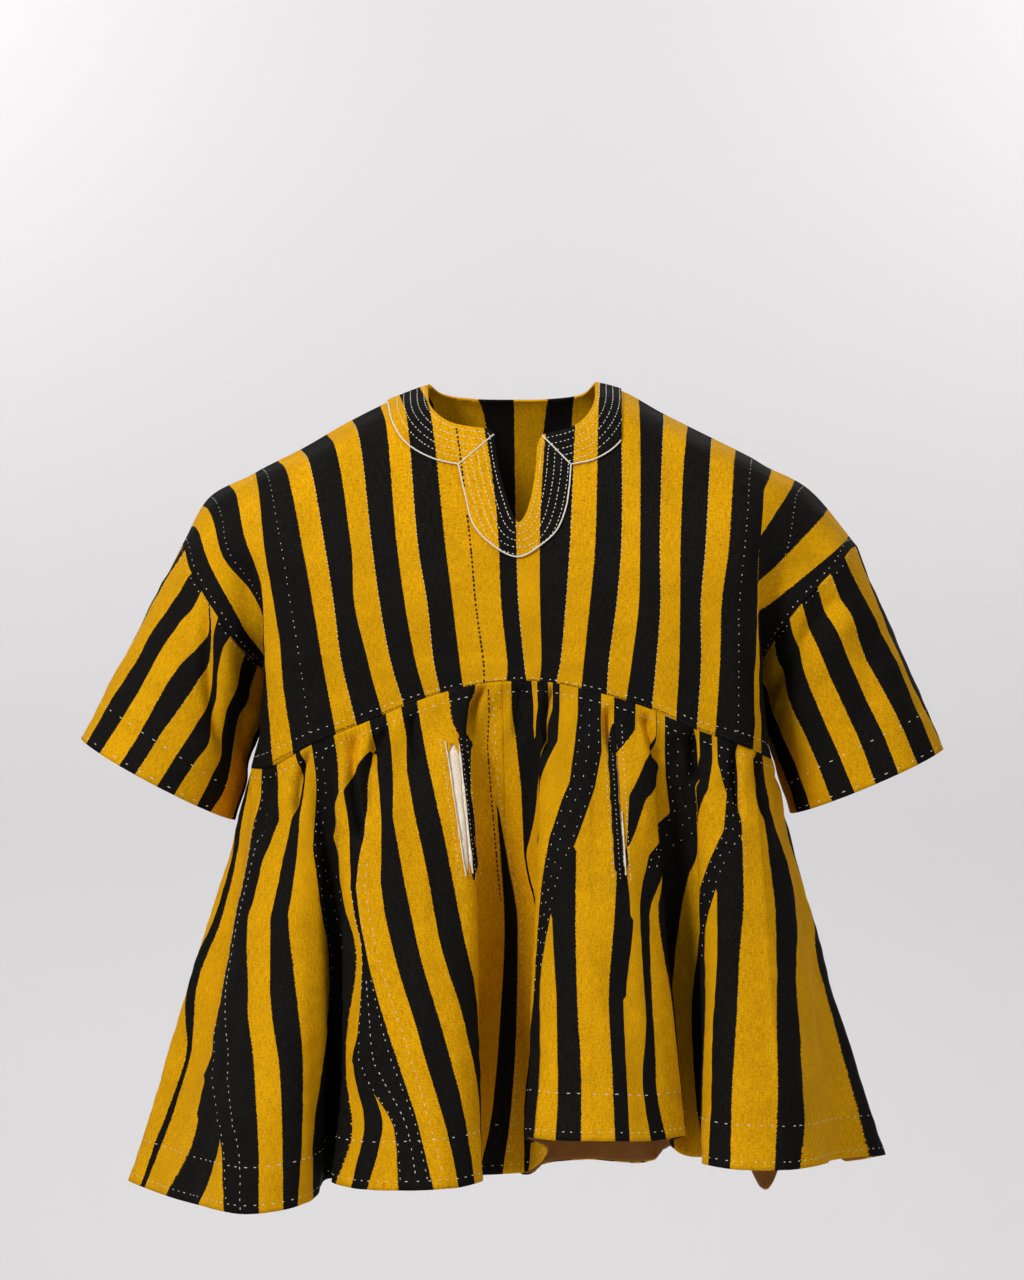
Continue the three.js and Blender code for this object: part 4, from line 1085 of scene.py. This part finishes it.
# The front of the skirt as one shape, on which the strips and their threads are laid.
ray_places = np.linspace(0, SIDE, 1400)
ray_drops = np.linspace(0, 1, 140)
ray_points = raised(skirt, ray_places, ray_drops, skirt_lift(0))[0]
ray_index = np.arange(ray_points.shape[0] * ray_points.shape[1]).reshape(ray_points.shape[:2])
ray_faces = np.stack([ray_index[:-1, :-1], ray_index[:-1, 1:], ray_index[1:, 1:], ray_index[1:, :-1]], -1)
skirt_tree = BVHTree.FromPolygons(ray_points.reshape(-1, 3).tolist(), ray_faces.reshape(-1, 4).tolist())


def laid(tree, xz, out, face=-1):
    """Points at X and Z laid on the cloth from its front or back, and moved out, with normals."""
    points, normals = [], []
    for x, z in xz:
        hit, normal, _, _ = tree.ray_cast((x, face * 600, z), (0, -face, 0))
        if hit is None:
            continue
        points.append(hit)
        normals.append(normal if normal.y * face > 0 else -normal)
    points, normals = np.array(points), np.array(normals)
    return points + normals * out, normals


def slit_line(slit, share):
    """X and Z of the middle of a slit, and half its width, at shares of the way down."""
    (x0, z0), (x1, z1) = slit["top"], slit["bottom"]
    half = slit["half_top"] + (slit["half_bottom"] - slit["half_top"]) * share
    return x0 + (x1 - x0) * share, z0 + (z1 - z0) * share, half


def beside_slit(slit, share, beyond, strip_side=True):
    """X and Z at shares of the slit's length, beyond its edge, on the black strip's side or the other."""
    x, z, half = slit_line(slit, share)
    side = slit["welt_side"] if strip_side else -slit["welt_side"]
    return np.stack([x + side * (half + beyond), z], axis=1)


def frayed_edge(slit, side, share, width, seed):
    """A raw cream edge that stands out of one side of the slit, waved and uneven in width."""
    x, z, half = slit_line(slit, share)
    rng = np.random.default_rng(seed)
    wave = np.interp(share * (KNOTS - 1), np.arange(KNOTS), rng.uniform(-1, 1, KNOTS))
    threads = np.arange(0, len(share), 2)
    fine = np.interp(np.arange(len(share)), threads, rng.uniform(-1, 1, len(threads)))
    fade = np.clip(np.minimum(share - share[0], share[-1] - share) * 12, 0.1, 1)
    rows = []
    for k, step in enumerate(np.linspace(-1, 1, 5)):
        reach = width * (1 + 0.45 * wave + 0.25 * fine * (step > 0.6)) * fade
        xz = np.stack([x + side * (half + 0.4) - side * step * reach / 2, z], axis=1)
        swell = 0.5 + 1.7 * (1 - step**2) + 0.6 * wave * (k > 1)
        points, normals = laid(skirt_tree, xz, 0.0)
        rows.append(points + normals * np.broadcast_to(swell, len(points))[:, None])
    points = np.array(rows[::-1] if side > 0 else rows)
    return grid(points, np.zeros(5), np.arange(5) * width / 4, share * SLIT_LENGTH)


for row in FRAYS:
    share = np.linspace(row["start"], row["end"], row["points"])
    mesh = frayed_edge(SLITS[row["slit"]], row["side"], share, row["width"], row["seed"])
    add_piece(row["name"], mesh, cream_lining, "cream_lining", 0.7)


def bag_lift(slit):
    """The bag hangs inside the skirt and bulges into its slit."""
    skirt_inside = skirt_lift(-BAG_INSIDE)

    def lift(points, places, down):
        full = np.clip(-slit_side(points, slit) / 2.5, 0, 1)
        return skirt_inside(points, places, down) + BAG_BULGE * full
    return lift


for row, slit in zip(BAGS, SLITS):
    drops = np.linspace(*BAG_DROPS, 60)
    edges = np.array([[row["low"]], [row["high"]]]) + np.zeros((2, len(drops)))
    mesh = cloth_on(skirt, edges, drops, FRONT_COLUMN, bag_lift(slit), SKIRT_DROP)
    cut_piece(row, mesh, CREAM_BAG)

# The strip's cut edges waver, and it narrows at both ends.
for row, slit in zip(WELTS, SLITS):
    share = np.linspace(-PAST_SLIT, 1 + PAST_SLIT, 110)
    ways = np.linspace(0, slit["welt_wide"], 7)
    waver = 0.5 * np.sin(share * 31) + 0.4 * np.sin(share * 57)
    narrow = np.clip(np.minimum((share + PAST_SLIT) * 4 + 0.25, (1 + PAST_SLIT - share) * 9 + 0.2), 0, 1)
    ragged = 0.35 * np.random.default_rng(41).uniform(-1, 1, len(share))
    strips = []
    for across in ways:
        rim = min(across, slit["welt_wide"] - across)
        beyond = 0.4 + waver * 0.5 + (across + ragged * (across > 0)) * narrow
        out = WELT_OUT - 0.7 * np.exp(-rim / 0.8)
        strips.append(laid(skirt_tree, beside_slit(slit, share, beyond), out)[0])
    points = np.array(strips)[::slit["welt_side"]]
    mesh = grid(points, np.zeros(7), ways, share * SLIT_LENGTH)
    cut_piece(row, mesh, BLACK_STRIP)

# ---- Hem facing ----
# A band of plain brown cotton, 45 mm deep, sewn round the inside of the skirt's hem. It shows under
# the folds that tip forward.
BROWN = ("#9c6a35", "#865626", "#5e3b19")
brown_facing = cotton("plain_brown_cotton", BROWN, FINE_YARN)
FACING = {"name": "hem_facing", "width": 0.040, "length": 3.400, "area": 0.133}
FACING_DEEP, FACING_INSIDE = 45, 1.6
FACING_COLUMNS, FACING_COLUMN = 640, 4.2
facing_drops = np.linspace(1 - FACING_DEEP / SKIRT_DROP, 0.997, 14)
places = np.linspace(0, ROUND, FACING_COLUMNS)
points, _ = raised(skirt, places, facing_drops, skirt_lift(-FACING_INSIDE))
across = np.arange(FACING_COLUMNS) * FACING_COLUMN
mesh = grid(points, np.zeros(FACING_COLUMNS), across, facing_drops * SKIRT_DROP)
cut_piece(FACING, mesh, (brown_facing, "brown_facing", 1.0))

# ---- Stitches ----
# Everything is sewn by hand with off-white cotton: small running stitches along the joins of the
# strips, quilting round the neck, and rows of dashes at the hems. Dark thread holds the seams.


def sewing_thread(name, colour):
    """Twisted cotton thread, dull, with the light and dark of its plies."""
    material = bpy.data.materials.new(name)
    material.use_nodes = True
    tree = material.node_tree
    tree.nodes.clear()
    place = node(tree, "NewGeometry", {}).outputs["Position"]
    plies = node(tree, "TexNoise", {"Vector": place, "Scale": 900.0, "Detail": 2.0}).outputs[0]
    tone = node(tree, "MapRange", {0: plies, 1: 0.3, 2: 0.7, 3: 0.8, 4: 1.05}).outputs[0]
    shade = node(tree, "HueSaturation", {"Value": tone, "Color": linear(colour)}).outputs[0]
    bump = node(tree, "Bump", {"Height": plies, "Distance": 0.0002, "Strength": 0.5})
    shader = node(tree, "BsdfPrincipled", {
        "Base Color": shade, "Roughness": 0.75, "Normal": bump.outputs[0], "Specular IOR Level": 0.3,
    })
    node(tree, "OutputMaterial", {"Surface": shader.outputs[0]})
    return material


white_thread = sewing_thread("off_white_cotton_thread", "#e9e3d4")
dark_thread = sewing_thread("black_cotton_thread", "#1b1916")
THREAD_OUT = 0.1  # mm from the cloth to the path of a row of stitches
SINK = 0.1  # mm that each stitch is drawn in from its path


def stitches(path, normals, pitch, length, width=0.8):
    """A running stitch every pitch millimetres along a path on the cloth."""
    lengths = run_of(path)
    at = np.arange(pitch / 2, lengths[-1], pitch)
    if len(at) == 0:
        return np.zeros((0, 3)), np.zeros((0, 3), int)
    rng = np.random.default_rng(len(at))
    at = at + rng.uniform(-0.2, 0.2, len(at)) * pitch
    ahead = along_line(path, lengths, at + 0.5) - along_line(path, lengths, at - 0.5)
    ahead /= np.maximum(np.linalg.norm(ahead, axis=1, keepdims=True), 1e-9)
    up = along_line(normals, lengths, at)
    up /= np.maximum(np.linalg.norm(up, axis=1, keepdims=True), 1e-9)
    aside = np.cross(up, ahead)
    long = length * rng.uniform(0.75, 1.2, len(at)) / 2
    # Two tips, and a ring of four corners near each.
    turn = np.arange(4) * np.pi / 2
    rings = [(x, np.cos(t), np.sin(t)) for x in (-0.6, 0.6) for t in turn]
    shape = np.array([(-1, 0, 0), (1, 0, 0), *rings])
    corners = (
        (along_line(path, lengths, at) - up * SINK)[:, None]
        + ahead[:, None] * shape[:, :1] * long[:, None, None]
        + aside[:, None] * shape[:, 1:2] * width / 2
        + up[:, None] * shape[:, 2:] * width * 0.45
    )
    faces = []
    for k in range(4):
        here, after = 2 + k, 2 + (k + 1) % 4
        faces += [(0, after, here), (1, here + 4, after + 4)]
        faces += [(here, after, after + 4), (here, after + 4, here + 4)]
    faces = np.array(faces) + (np.arange(len(at)) * 10)[:, None, None]
    return corners.reshape(-1, 3), faces.reshape(-1, 3)


def cord(path, normals, radius):
    """A thin round cord couched along a path on the cloth."""
    ahead = np.gradient(path, axis=0)
    ahead /= np.maximum(np.linalg.norm(ahead, axis=1, keepdims=True), 1e-9)
    aside = np.cross(normals, ahead)
    turn = np.arange(6) * np.pi / 3
    ring = np.cos(turn)[:, None] * aside[:, None] + np.sin(turn)[:, None] * np.cross(ahead, aside)[:, None]
    points = path[:, None] + ring * radius
    i = np.arange(len(path) * 6).reshape(-1, 6)
    j = np.roll(i, -1, axis=1)
    faces = np.concatenate([
        np.stack([i[:-1], j[:-1], j[1:]], -1).reshape(-1, 3),
        np.stack([i[:-1], j[1:], i[1:]], -1).reshape(-1, 3),
        [(i[0, 0], i[0, k + 1], i[0, k]) for k in range(1, 5)],
        [(i[-1, 0], i[-1, k], i[-1, k + 1]) for k in range(1, 5)],
    ])
    return points.reshape(-1, 3), faces


def joined(parts):
    """Several (vertices, triangles) as one mesh."""
    starts = np.cumsum([0] + [len(points) for points, _ in parts])
    faces = [faces + start for (_, faces), start in zip(parts, starts)]
    return np.concatenate([points for points, _ in parts]), None, np.concatenate(faces)


def along_surface(base, places, down, lift, turn=1):
    """A path down the surface at one place for each step of down."""
    points, normals = [], []
    for start in range(0, len(down), 40):
        part = down[start:start + 40]
        p, n = raised(base, np.array([places[start:start + 40]]), part, lift, turn)
        points.append(p[0])
        normals.append(n[0])
    return np.concatenate(points), np.concatenate(normals)


def sewn_across(base, places, levels, lift, stitch, turn=1):
    """A row of stitches across a surface at the first of two levels."""
    points, normals = raised(base, places, np.array(levels), lift, turn)
    return stitches(points[:, 0], normals[:, 0], *stitch)


# Joins of the yoke's strips, by line: most have close ticks, the wide black strips sparser dots.
YOKE_ROWS_SEWN = rows_of([
    ("place", "pitch", "length"),
    (1.02, 7, 1.3), (2.0, 9, 1.2), (3.0, 8, 1.3), (4.0, 5, 1.5), (5.0, 5, 1.5), (6.0, 5, 1.5),
    (8.0, 5, 1.5), (9.0, 5, 1.5), (10.0, 5, 1.5), (11.0, 5, 1.5), (12.0, 5, 1.5), (13.0, 8, 1.3),
    (14.9, 7, 1.3),
])
# The middle join is sewn with dark thread: its pitch, length and width.
CENTRE_JOIN, CENTRE_STITCH = 7.0, (4.4, 3.3, 1.9)
BAND_CLEAR = 1.5  # mm between the yoke's rows and the neck band
yoke_sewn, dark_sewn = [], []
joins = [(row["place"], yoke_sewn, (row["pitch"], row["length"])) for row in YOKE_ROWS_SEWN]
joins.append((CENTRE_JOIN, dark_sewn, CENTRE_STITCH))
down = np.linspace(0.05, 4.93, 240)
arm_down = np.linspace(0.1, 3.9, 200)
seam_places = np.linspace(0.1, 15.9, 700)
for face in (-1, 1):
    base, lift = yoke_base(face), yoke_lift(THREAD_OUT)
    for place, sewn, stitch in joins:
        path, normals = along_surface(base, np.full(len(down), place), down, lift, -face)
        clear = outside(path, BAND[face]) > BAND_CLEAR
        sewn.append(stitches(path[clear], normals[clear], *stitch))
    # Just above the seam with the skirt, a dark line and then white dashes.
    for level, sewn, stitch in ((4.96, dark_sewn, (3.2, 2.6)), (4.86, yoke_sewn, (8, 2.4))):
        sewn.append(sewn_across(base, seam_places, [level, 5.0], lift, stitch, -face))
    # The armhole seams, ticked beside the sleeve.
    for place in (0.12, 15.88):
        path, normals = along_surface(base, np.full(len(arm_down), place), arm_down, lift, -face)
        yoke_sewn.append(stitches(path, normals, 9, 1.6))
add_piece("stitches_yoke", joined(yoke_sewn), white_thread, "white_thread")


def spaced(line, step):
    """Points every step millimetres along a line."""
    line = np.array(line, float)
    lengths = run_of(line)
    return along_line(line, lengths, np.arange(0, lengths[-1], step))


# Quilting of the neck band: rows that follow the neck's edge, then a white cord round the band, and
# on the front two short cords from the slit's corners to the band's.
QUILT_ROWS, QUILT_BACK = 5, 2.5  # rows, and how much nearer the neck they are than the band's puffs
CORD_INSIDE, CORD_OUT, CORD_RADIUS = 1.2, 0.4, 0.75
CORNER_CORDS, CORNER_OUT, CORNER_RADIUS = (((-17, -52), (-49, -80)), ((28, -53), (54, -80))), 0.3, 0.7
neck_sewn, neck_cord = [], []
for face in (-1, 1):
    points, _, faces = band_meshes[face]
    tree = BVHTree.FromPolygons(points.tolist(), faces.tolist())
    dense = spaced(NECK[face], 0.5)
    ahead = np.gradient(dense, axis=0)
    ahead /= np.linalg.norm(ahead, axis=1, keepdims=True)
    away = np.stack([ahead[:, 1], -ahead[:, 0]], axis=1)
    for number in range(1, QUILT_ROWS + 1):
        far = QUILT_ROW * number - QUILT_BACK
        row = dense + away * far
        flat = np.stack([row[:, 0], np.zeros(len(row)), row[:, 1]], axis=1)
        good = (outside(flat, NECK[face]) > far - 0.3) & (outside(flat, BAND[face]) < -1.2)
        if good.sum() > 10:
            path, normals = laid(tree, row[good], 0.0, face)
            neck_sewn.append(stitches(path, normals, 4, 2.3, 1.0))
    centre = yoke(face, np.linspace(0.2, 2, 90), [CENTRE_JOIN])[0]
    on_band = (outside(centre, BAND[face]) < -1) & (outside(centre, NECK[face]) > 1)
    path, normals = laid(tree, centre[on_band][:, [0, 2]], THREAD_OUT, face)
    dark_sewn.append(stitches(path, normals, *CENTRE_STITCH))
    edge = spaced(BAND[face], 1.5)
    inward = np.array([0, -20.0]) - edge
    inward /= np.linalg.norm(inward, axis=1, keepdims=True)
    path, normals = laid(tree, edge + inward * CORD_INSIDE, CORD_OUT, face)
    neck_cord.append(cord(path, normals, CORD_RADIUS))
    if face < 0:
        for start, end in CORNER_CORDS:
            share = np.linspace(0, 1, 30)[:, None]
            path, normals = laid(tree, np.array(start) + (np.array(end) - start) * share, CORNER_OUT)
            neck_cord.append(cord(path, normals, CORNER_RADIUS))
add_piece("stitches_neck", joined(neck_sewn), white_thread, "white_thread")
add_piece("cord_neck", joined(neck_cord), white_thread, "white_thread")

# Sleeves: joins of the strips, a row where the cuff's hem is turned up and one at its edge.
sleeve_sewn = []
round_it = np.linspace(0, 1, 500)
down = np.linspace(0.03, 0.97, 80)
for row in SLEEVES:
    base, lift, turn = sleeve_base(row), sleeve_lift(THREAD_OUT), row["turn"]
    for level, stitch in ((0.81, (15, 3.6)), (0.975, (15, 3.6)), (0.02, (9, 1.6))):
        sleeve_sewn.append(sewn_across(base, round_it, [level, 1.0], lift, stitch, turn))
    for edge in sleeve_stripes(row["name"], down)[3:-3:4]:
        path, normals = along_surface(base, edge, down, lift, turn)
        sleeve_sewn.append(stitches(path, normals, 9, 1.2, 0.6))
add_piece("stitches_sleeves", joined(sleeve_sewn), white_thread, "white_thread")

# The skirt's joins, each in a stripe at a share of its width, from one drop to another.
SKIRT_ROWS_SEWN = rows_of([
    ("cloth", "share", "start", "end", "pitch", "length"),
    ("black_3", 0.06, 0.02, 0.99, 9, 2.2), ("black_3", 0.45, 0.02, 0.99, 7, 2.6),
    ("black_7", 0.08, 0.02, 0.6, 10, 1.5), ("black_7", 0.35, 0.02, 0.62, 12, 1.5),
    ("black_7", 0.6, 0.3, 0.62, 11, 1.5),
    ("yellow_8", 0.5, 0.05, 0.3, 8, 1.6),
    ("black_9", 0.06, 0.35, 0.98, 8, 2.0), ("black_9", 0.5, 0.55, 0.98, 7, 2.6),
    ("black_9", 0.88, 0.55, 0.98, 8, 2.0),
    ("yellow_10", 0.08, 0.1, 0.5, 8, 2.0), ("yellow_10", 0.45, 0.3, 0.97, 8, 3.2),
    ("yellow_18", 0.15, 0.03, 0.97, 8, 2.6), ("yellow_16", 0.06, 0.3, 0.97, 11, 2.0),
    ("black_slant", 0.15, 0.05, 0.7, 11, 1.5), ("black_slant", 0.5, 0.03, 0.6, 12, 1.5),
    ("black_slant", 0.88, 0.05, 0.65, 10, 1.5),
    ("yellow_21", 0.92, 0.05, 0.45, 9, 1.6),
    ("black_24", 0.12, 0.02, 0.4, 11, 1.5), ("black_24", 0.45, 0.02, 0.4, 13, 1.5),
    ("black_24", 0.85, 0.02, 0.35, 12, 1.5),
    ("black_28", 0.12, 0.03, 0.55, 11, 1.5), ("black_28", 0.5, 0.03, 0.5, 13, 1.5),
    ("black_28", 0.9, 0.03, 0.55, 10, 1.5),
    ("yellow_30", 0.08, 0.03, 0.3, 9, 1.6),
])
# One join near the middle is sewn with dark thread.
DARK_JOIN = {"cloth": "yellow_16", "share": 0.93, "start": 0.01, "end": 0.45, "pitch": 4.4, "length": 3.2}
NARROW_STRIPE = 3  # mm; a stripe narrower than this is folded away and shows no stitches
skirt_sewn = []
lift = skirt_lift(THREAD_OUT)
for row in (*SKIRT_ROWS_SEWN, DARK_JOIN):
    down = np.linspace(row["start"], row["end"], 200)
    edges = front_stripes(down)
    i = STRIPS.index(row["cloth"])
    wide = np.linalg.norm(np.diff(skirt(edges[i:i + 2], down), axis=0)[0], axis=1)
    path, normals = along_surface(skirt, edges[i] + (edges[i + 1] - edges[i]) * row["share"], down, lift)
    shows = wide > NARROW_STRIPE
    if shows.sum() > 5:
        sewn, width = (dark_sewn, 1.6) if row is DARK_JOIN else (skirt_sewn, 0.8)
        sewn.append(stitches(path[shows], normals[shows], row["pitch"], row["length"], width))
# Every sixth join of the back, then rows all round: under the seam, and two at the hem.
down = np.linspace(0.02, 0.98, 200)
for number in range(4, BACK_STRIPES, 6):
    place = at_seam[number] + (at_hem - at_seam)[number] * down
    path, normals = along_surface(skirt, place, down, lift)
    skirt_sewn.append(stitches(path, normals, 8, 1.8))
around = np.linspace(0, ROUND, 2400)
for level, stitch in ((0.022, (8, 2.6)), (0.9, (11, 3.6)), (0.982, (9, 2.6))):
    skirt_sewn.append(sewn_across(skirt, around, [level, 1.0], lift, stitch))
# Rows along each slit: on its plain side, beyond the black strip, and down the strip's middle.
share = np.linspace(-PAST_SLIT, 1 + PAST_SLIT, 90)
for slit in SLITS:
    strip = slit["welt_wide"]
    for on_strip_side, beyond, out, stitch in (
        (False, 5, THREAD_OUT, (5, 2.0)),
        (True, strip + 2.5, THREAD_OUT, (6, 1.6)),
        (True, strip / 2, WELT_OUT + THREAD_OUT, (4.5, 1.2)),
    ):
        path, normals = laid(skirt_tree, beside_slit(slit, share, beyond, on_strip_side), out)
        skirt_sewn.append(stitches(path, normals, *stitch))
add_piece("stitches_skirt", joined(skirt_sewn), white_thread, "white_thread")
add_piece("dark_stitches", joined(dark_sewn), dark_thread, "black_cloth")

# ---- Studio ----
# A seamless pale sweep behind and under the smock, and large soft lights.
FLOOR, BEND, WALL_FOOT = -1.55, 0.9, 3.3
sweep_profile = [(-4.5, FLOOR), (WALL_FOOT, FLOOR), *(
    (WALL_FOOT + BEND * np.sin(a), FLOOR + BEND * (1 - np.cos(a))) for a in np.linspace(0, np.pi / 2, 12)[1:]
), (WALL_FOOT + BEND, 3.6)]
sweep = bpy.data.meshes.new("sweep")
sweep.from_pydata(
    [(x, y, z) for y, z in sweep_profile for x in (-6, 6)], [],
    [(2 * k, 2 * k + 1, 2 * k + 3, 2 * k + 2) for k in range(len(sweep_profile) - 1)],
)
sweep.polygons.foreach_set("use_smooth", [True] * len(sweep.polygons))
paper = bpy.data.materials.new("pale_paper")
paper.use_nodes = True
paper.node_tree.nodes.clear()
paper_shader = node(paper.node_tree, "BsdfPrincipled", {"Base Color": linear("#e9e7e8"), "Roughness": 0.95})
node(paper.node_tree, "OutputMaterial", {"Surface": paper_shader.outputs[0]})
sweep.materials.append(paper)
backdrop = bpy.data.objects.new("backdrop", sweep)
bpy.context.scene.collection.objects.link(backdrop)


def soft_light(name, place, aim, size, power):
    """A square soft box at place that points at aim."""
    light = bpy.data.objects.new(name, bpy.data.lights.new(name, "AREA"))
    light.data.shape = "SQUARE"
    light.data.size = size
    light.data.energy = power
    light.location = place
    way = [a - p for a, p in zip(aim, place)]
    light.rotation_euler = (
        np.arctan2(np.hypot(way[0], way[1]), -way[2]), 0, np.arctan2(way[1], way[0]) - np.pi / 2,
    )
    light.visible_camera = False
    bpy.context.scene.collection.objects.link(light)


soft_light("key", (-1.9, -2.3, 1.6), (0, 0, -0.4), 1.0, 84)
soft_light("fill", (2.3, -2.2, 0.4), (0, 0, -0.4), 1.6, 15)
soft_light("top", (0.1, -0.5, 2.4), (0, 0, -0.4), 1.4, 20)
soft_light("wash_left", (-2.0, 2.7, 1.8), (-0.6, 4.2, -0.3), 1.6, 34)
soft_light("wash_right", (2.0, 2.7, 1.8), (0.6, 4.2, -0.3), 1.6, 32)
soft_light("rear", (0.8, 2.2, 1.6), (0, 0, -0.4), 1.4, 14)
world = bpy.data.worlds.new("studio")
world.use_nodes = True
world.node_tree.nodes["Background"].inputs["Color"].default_value = linear("#ffffff")
world.node_tree.nodes["Background"].inputs["Strength"].default_value = 0.2
bpy.context.scene.world = world
bpy.context.scene.view_settings.view_transform = "Standard"
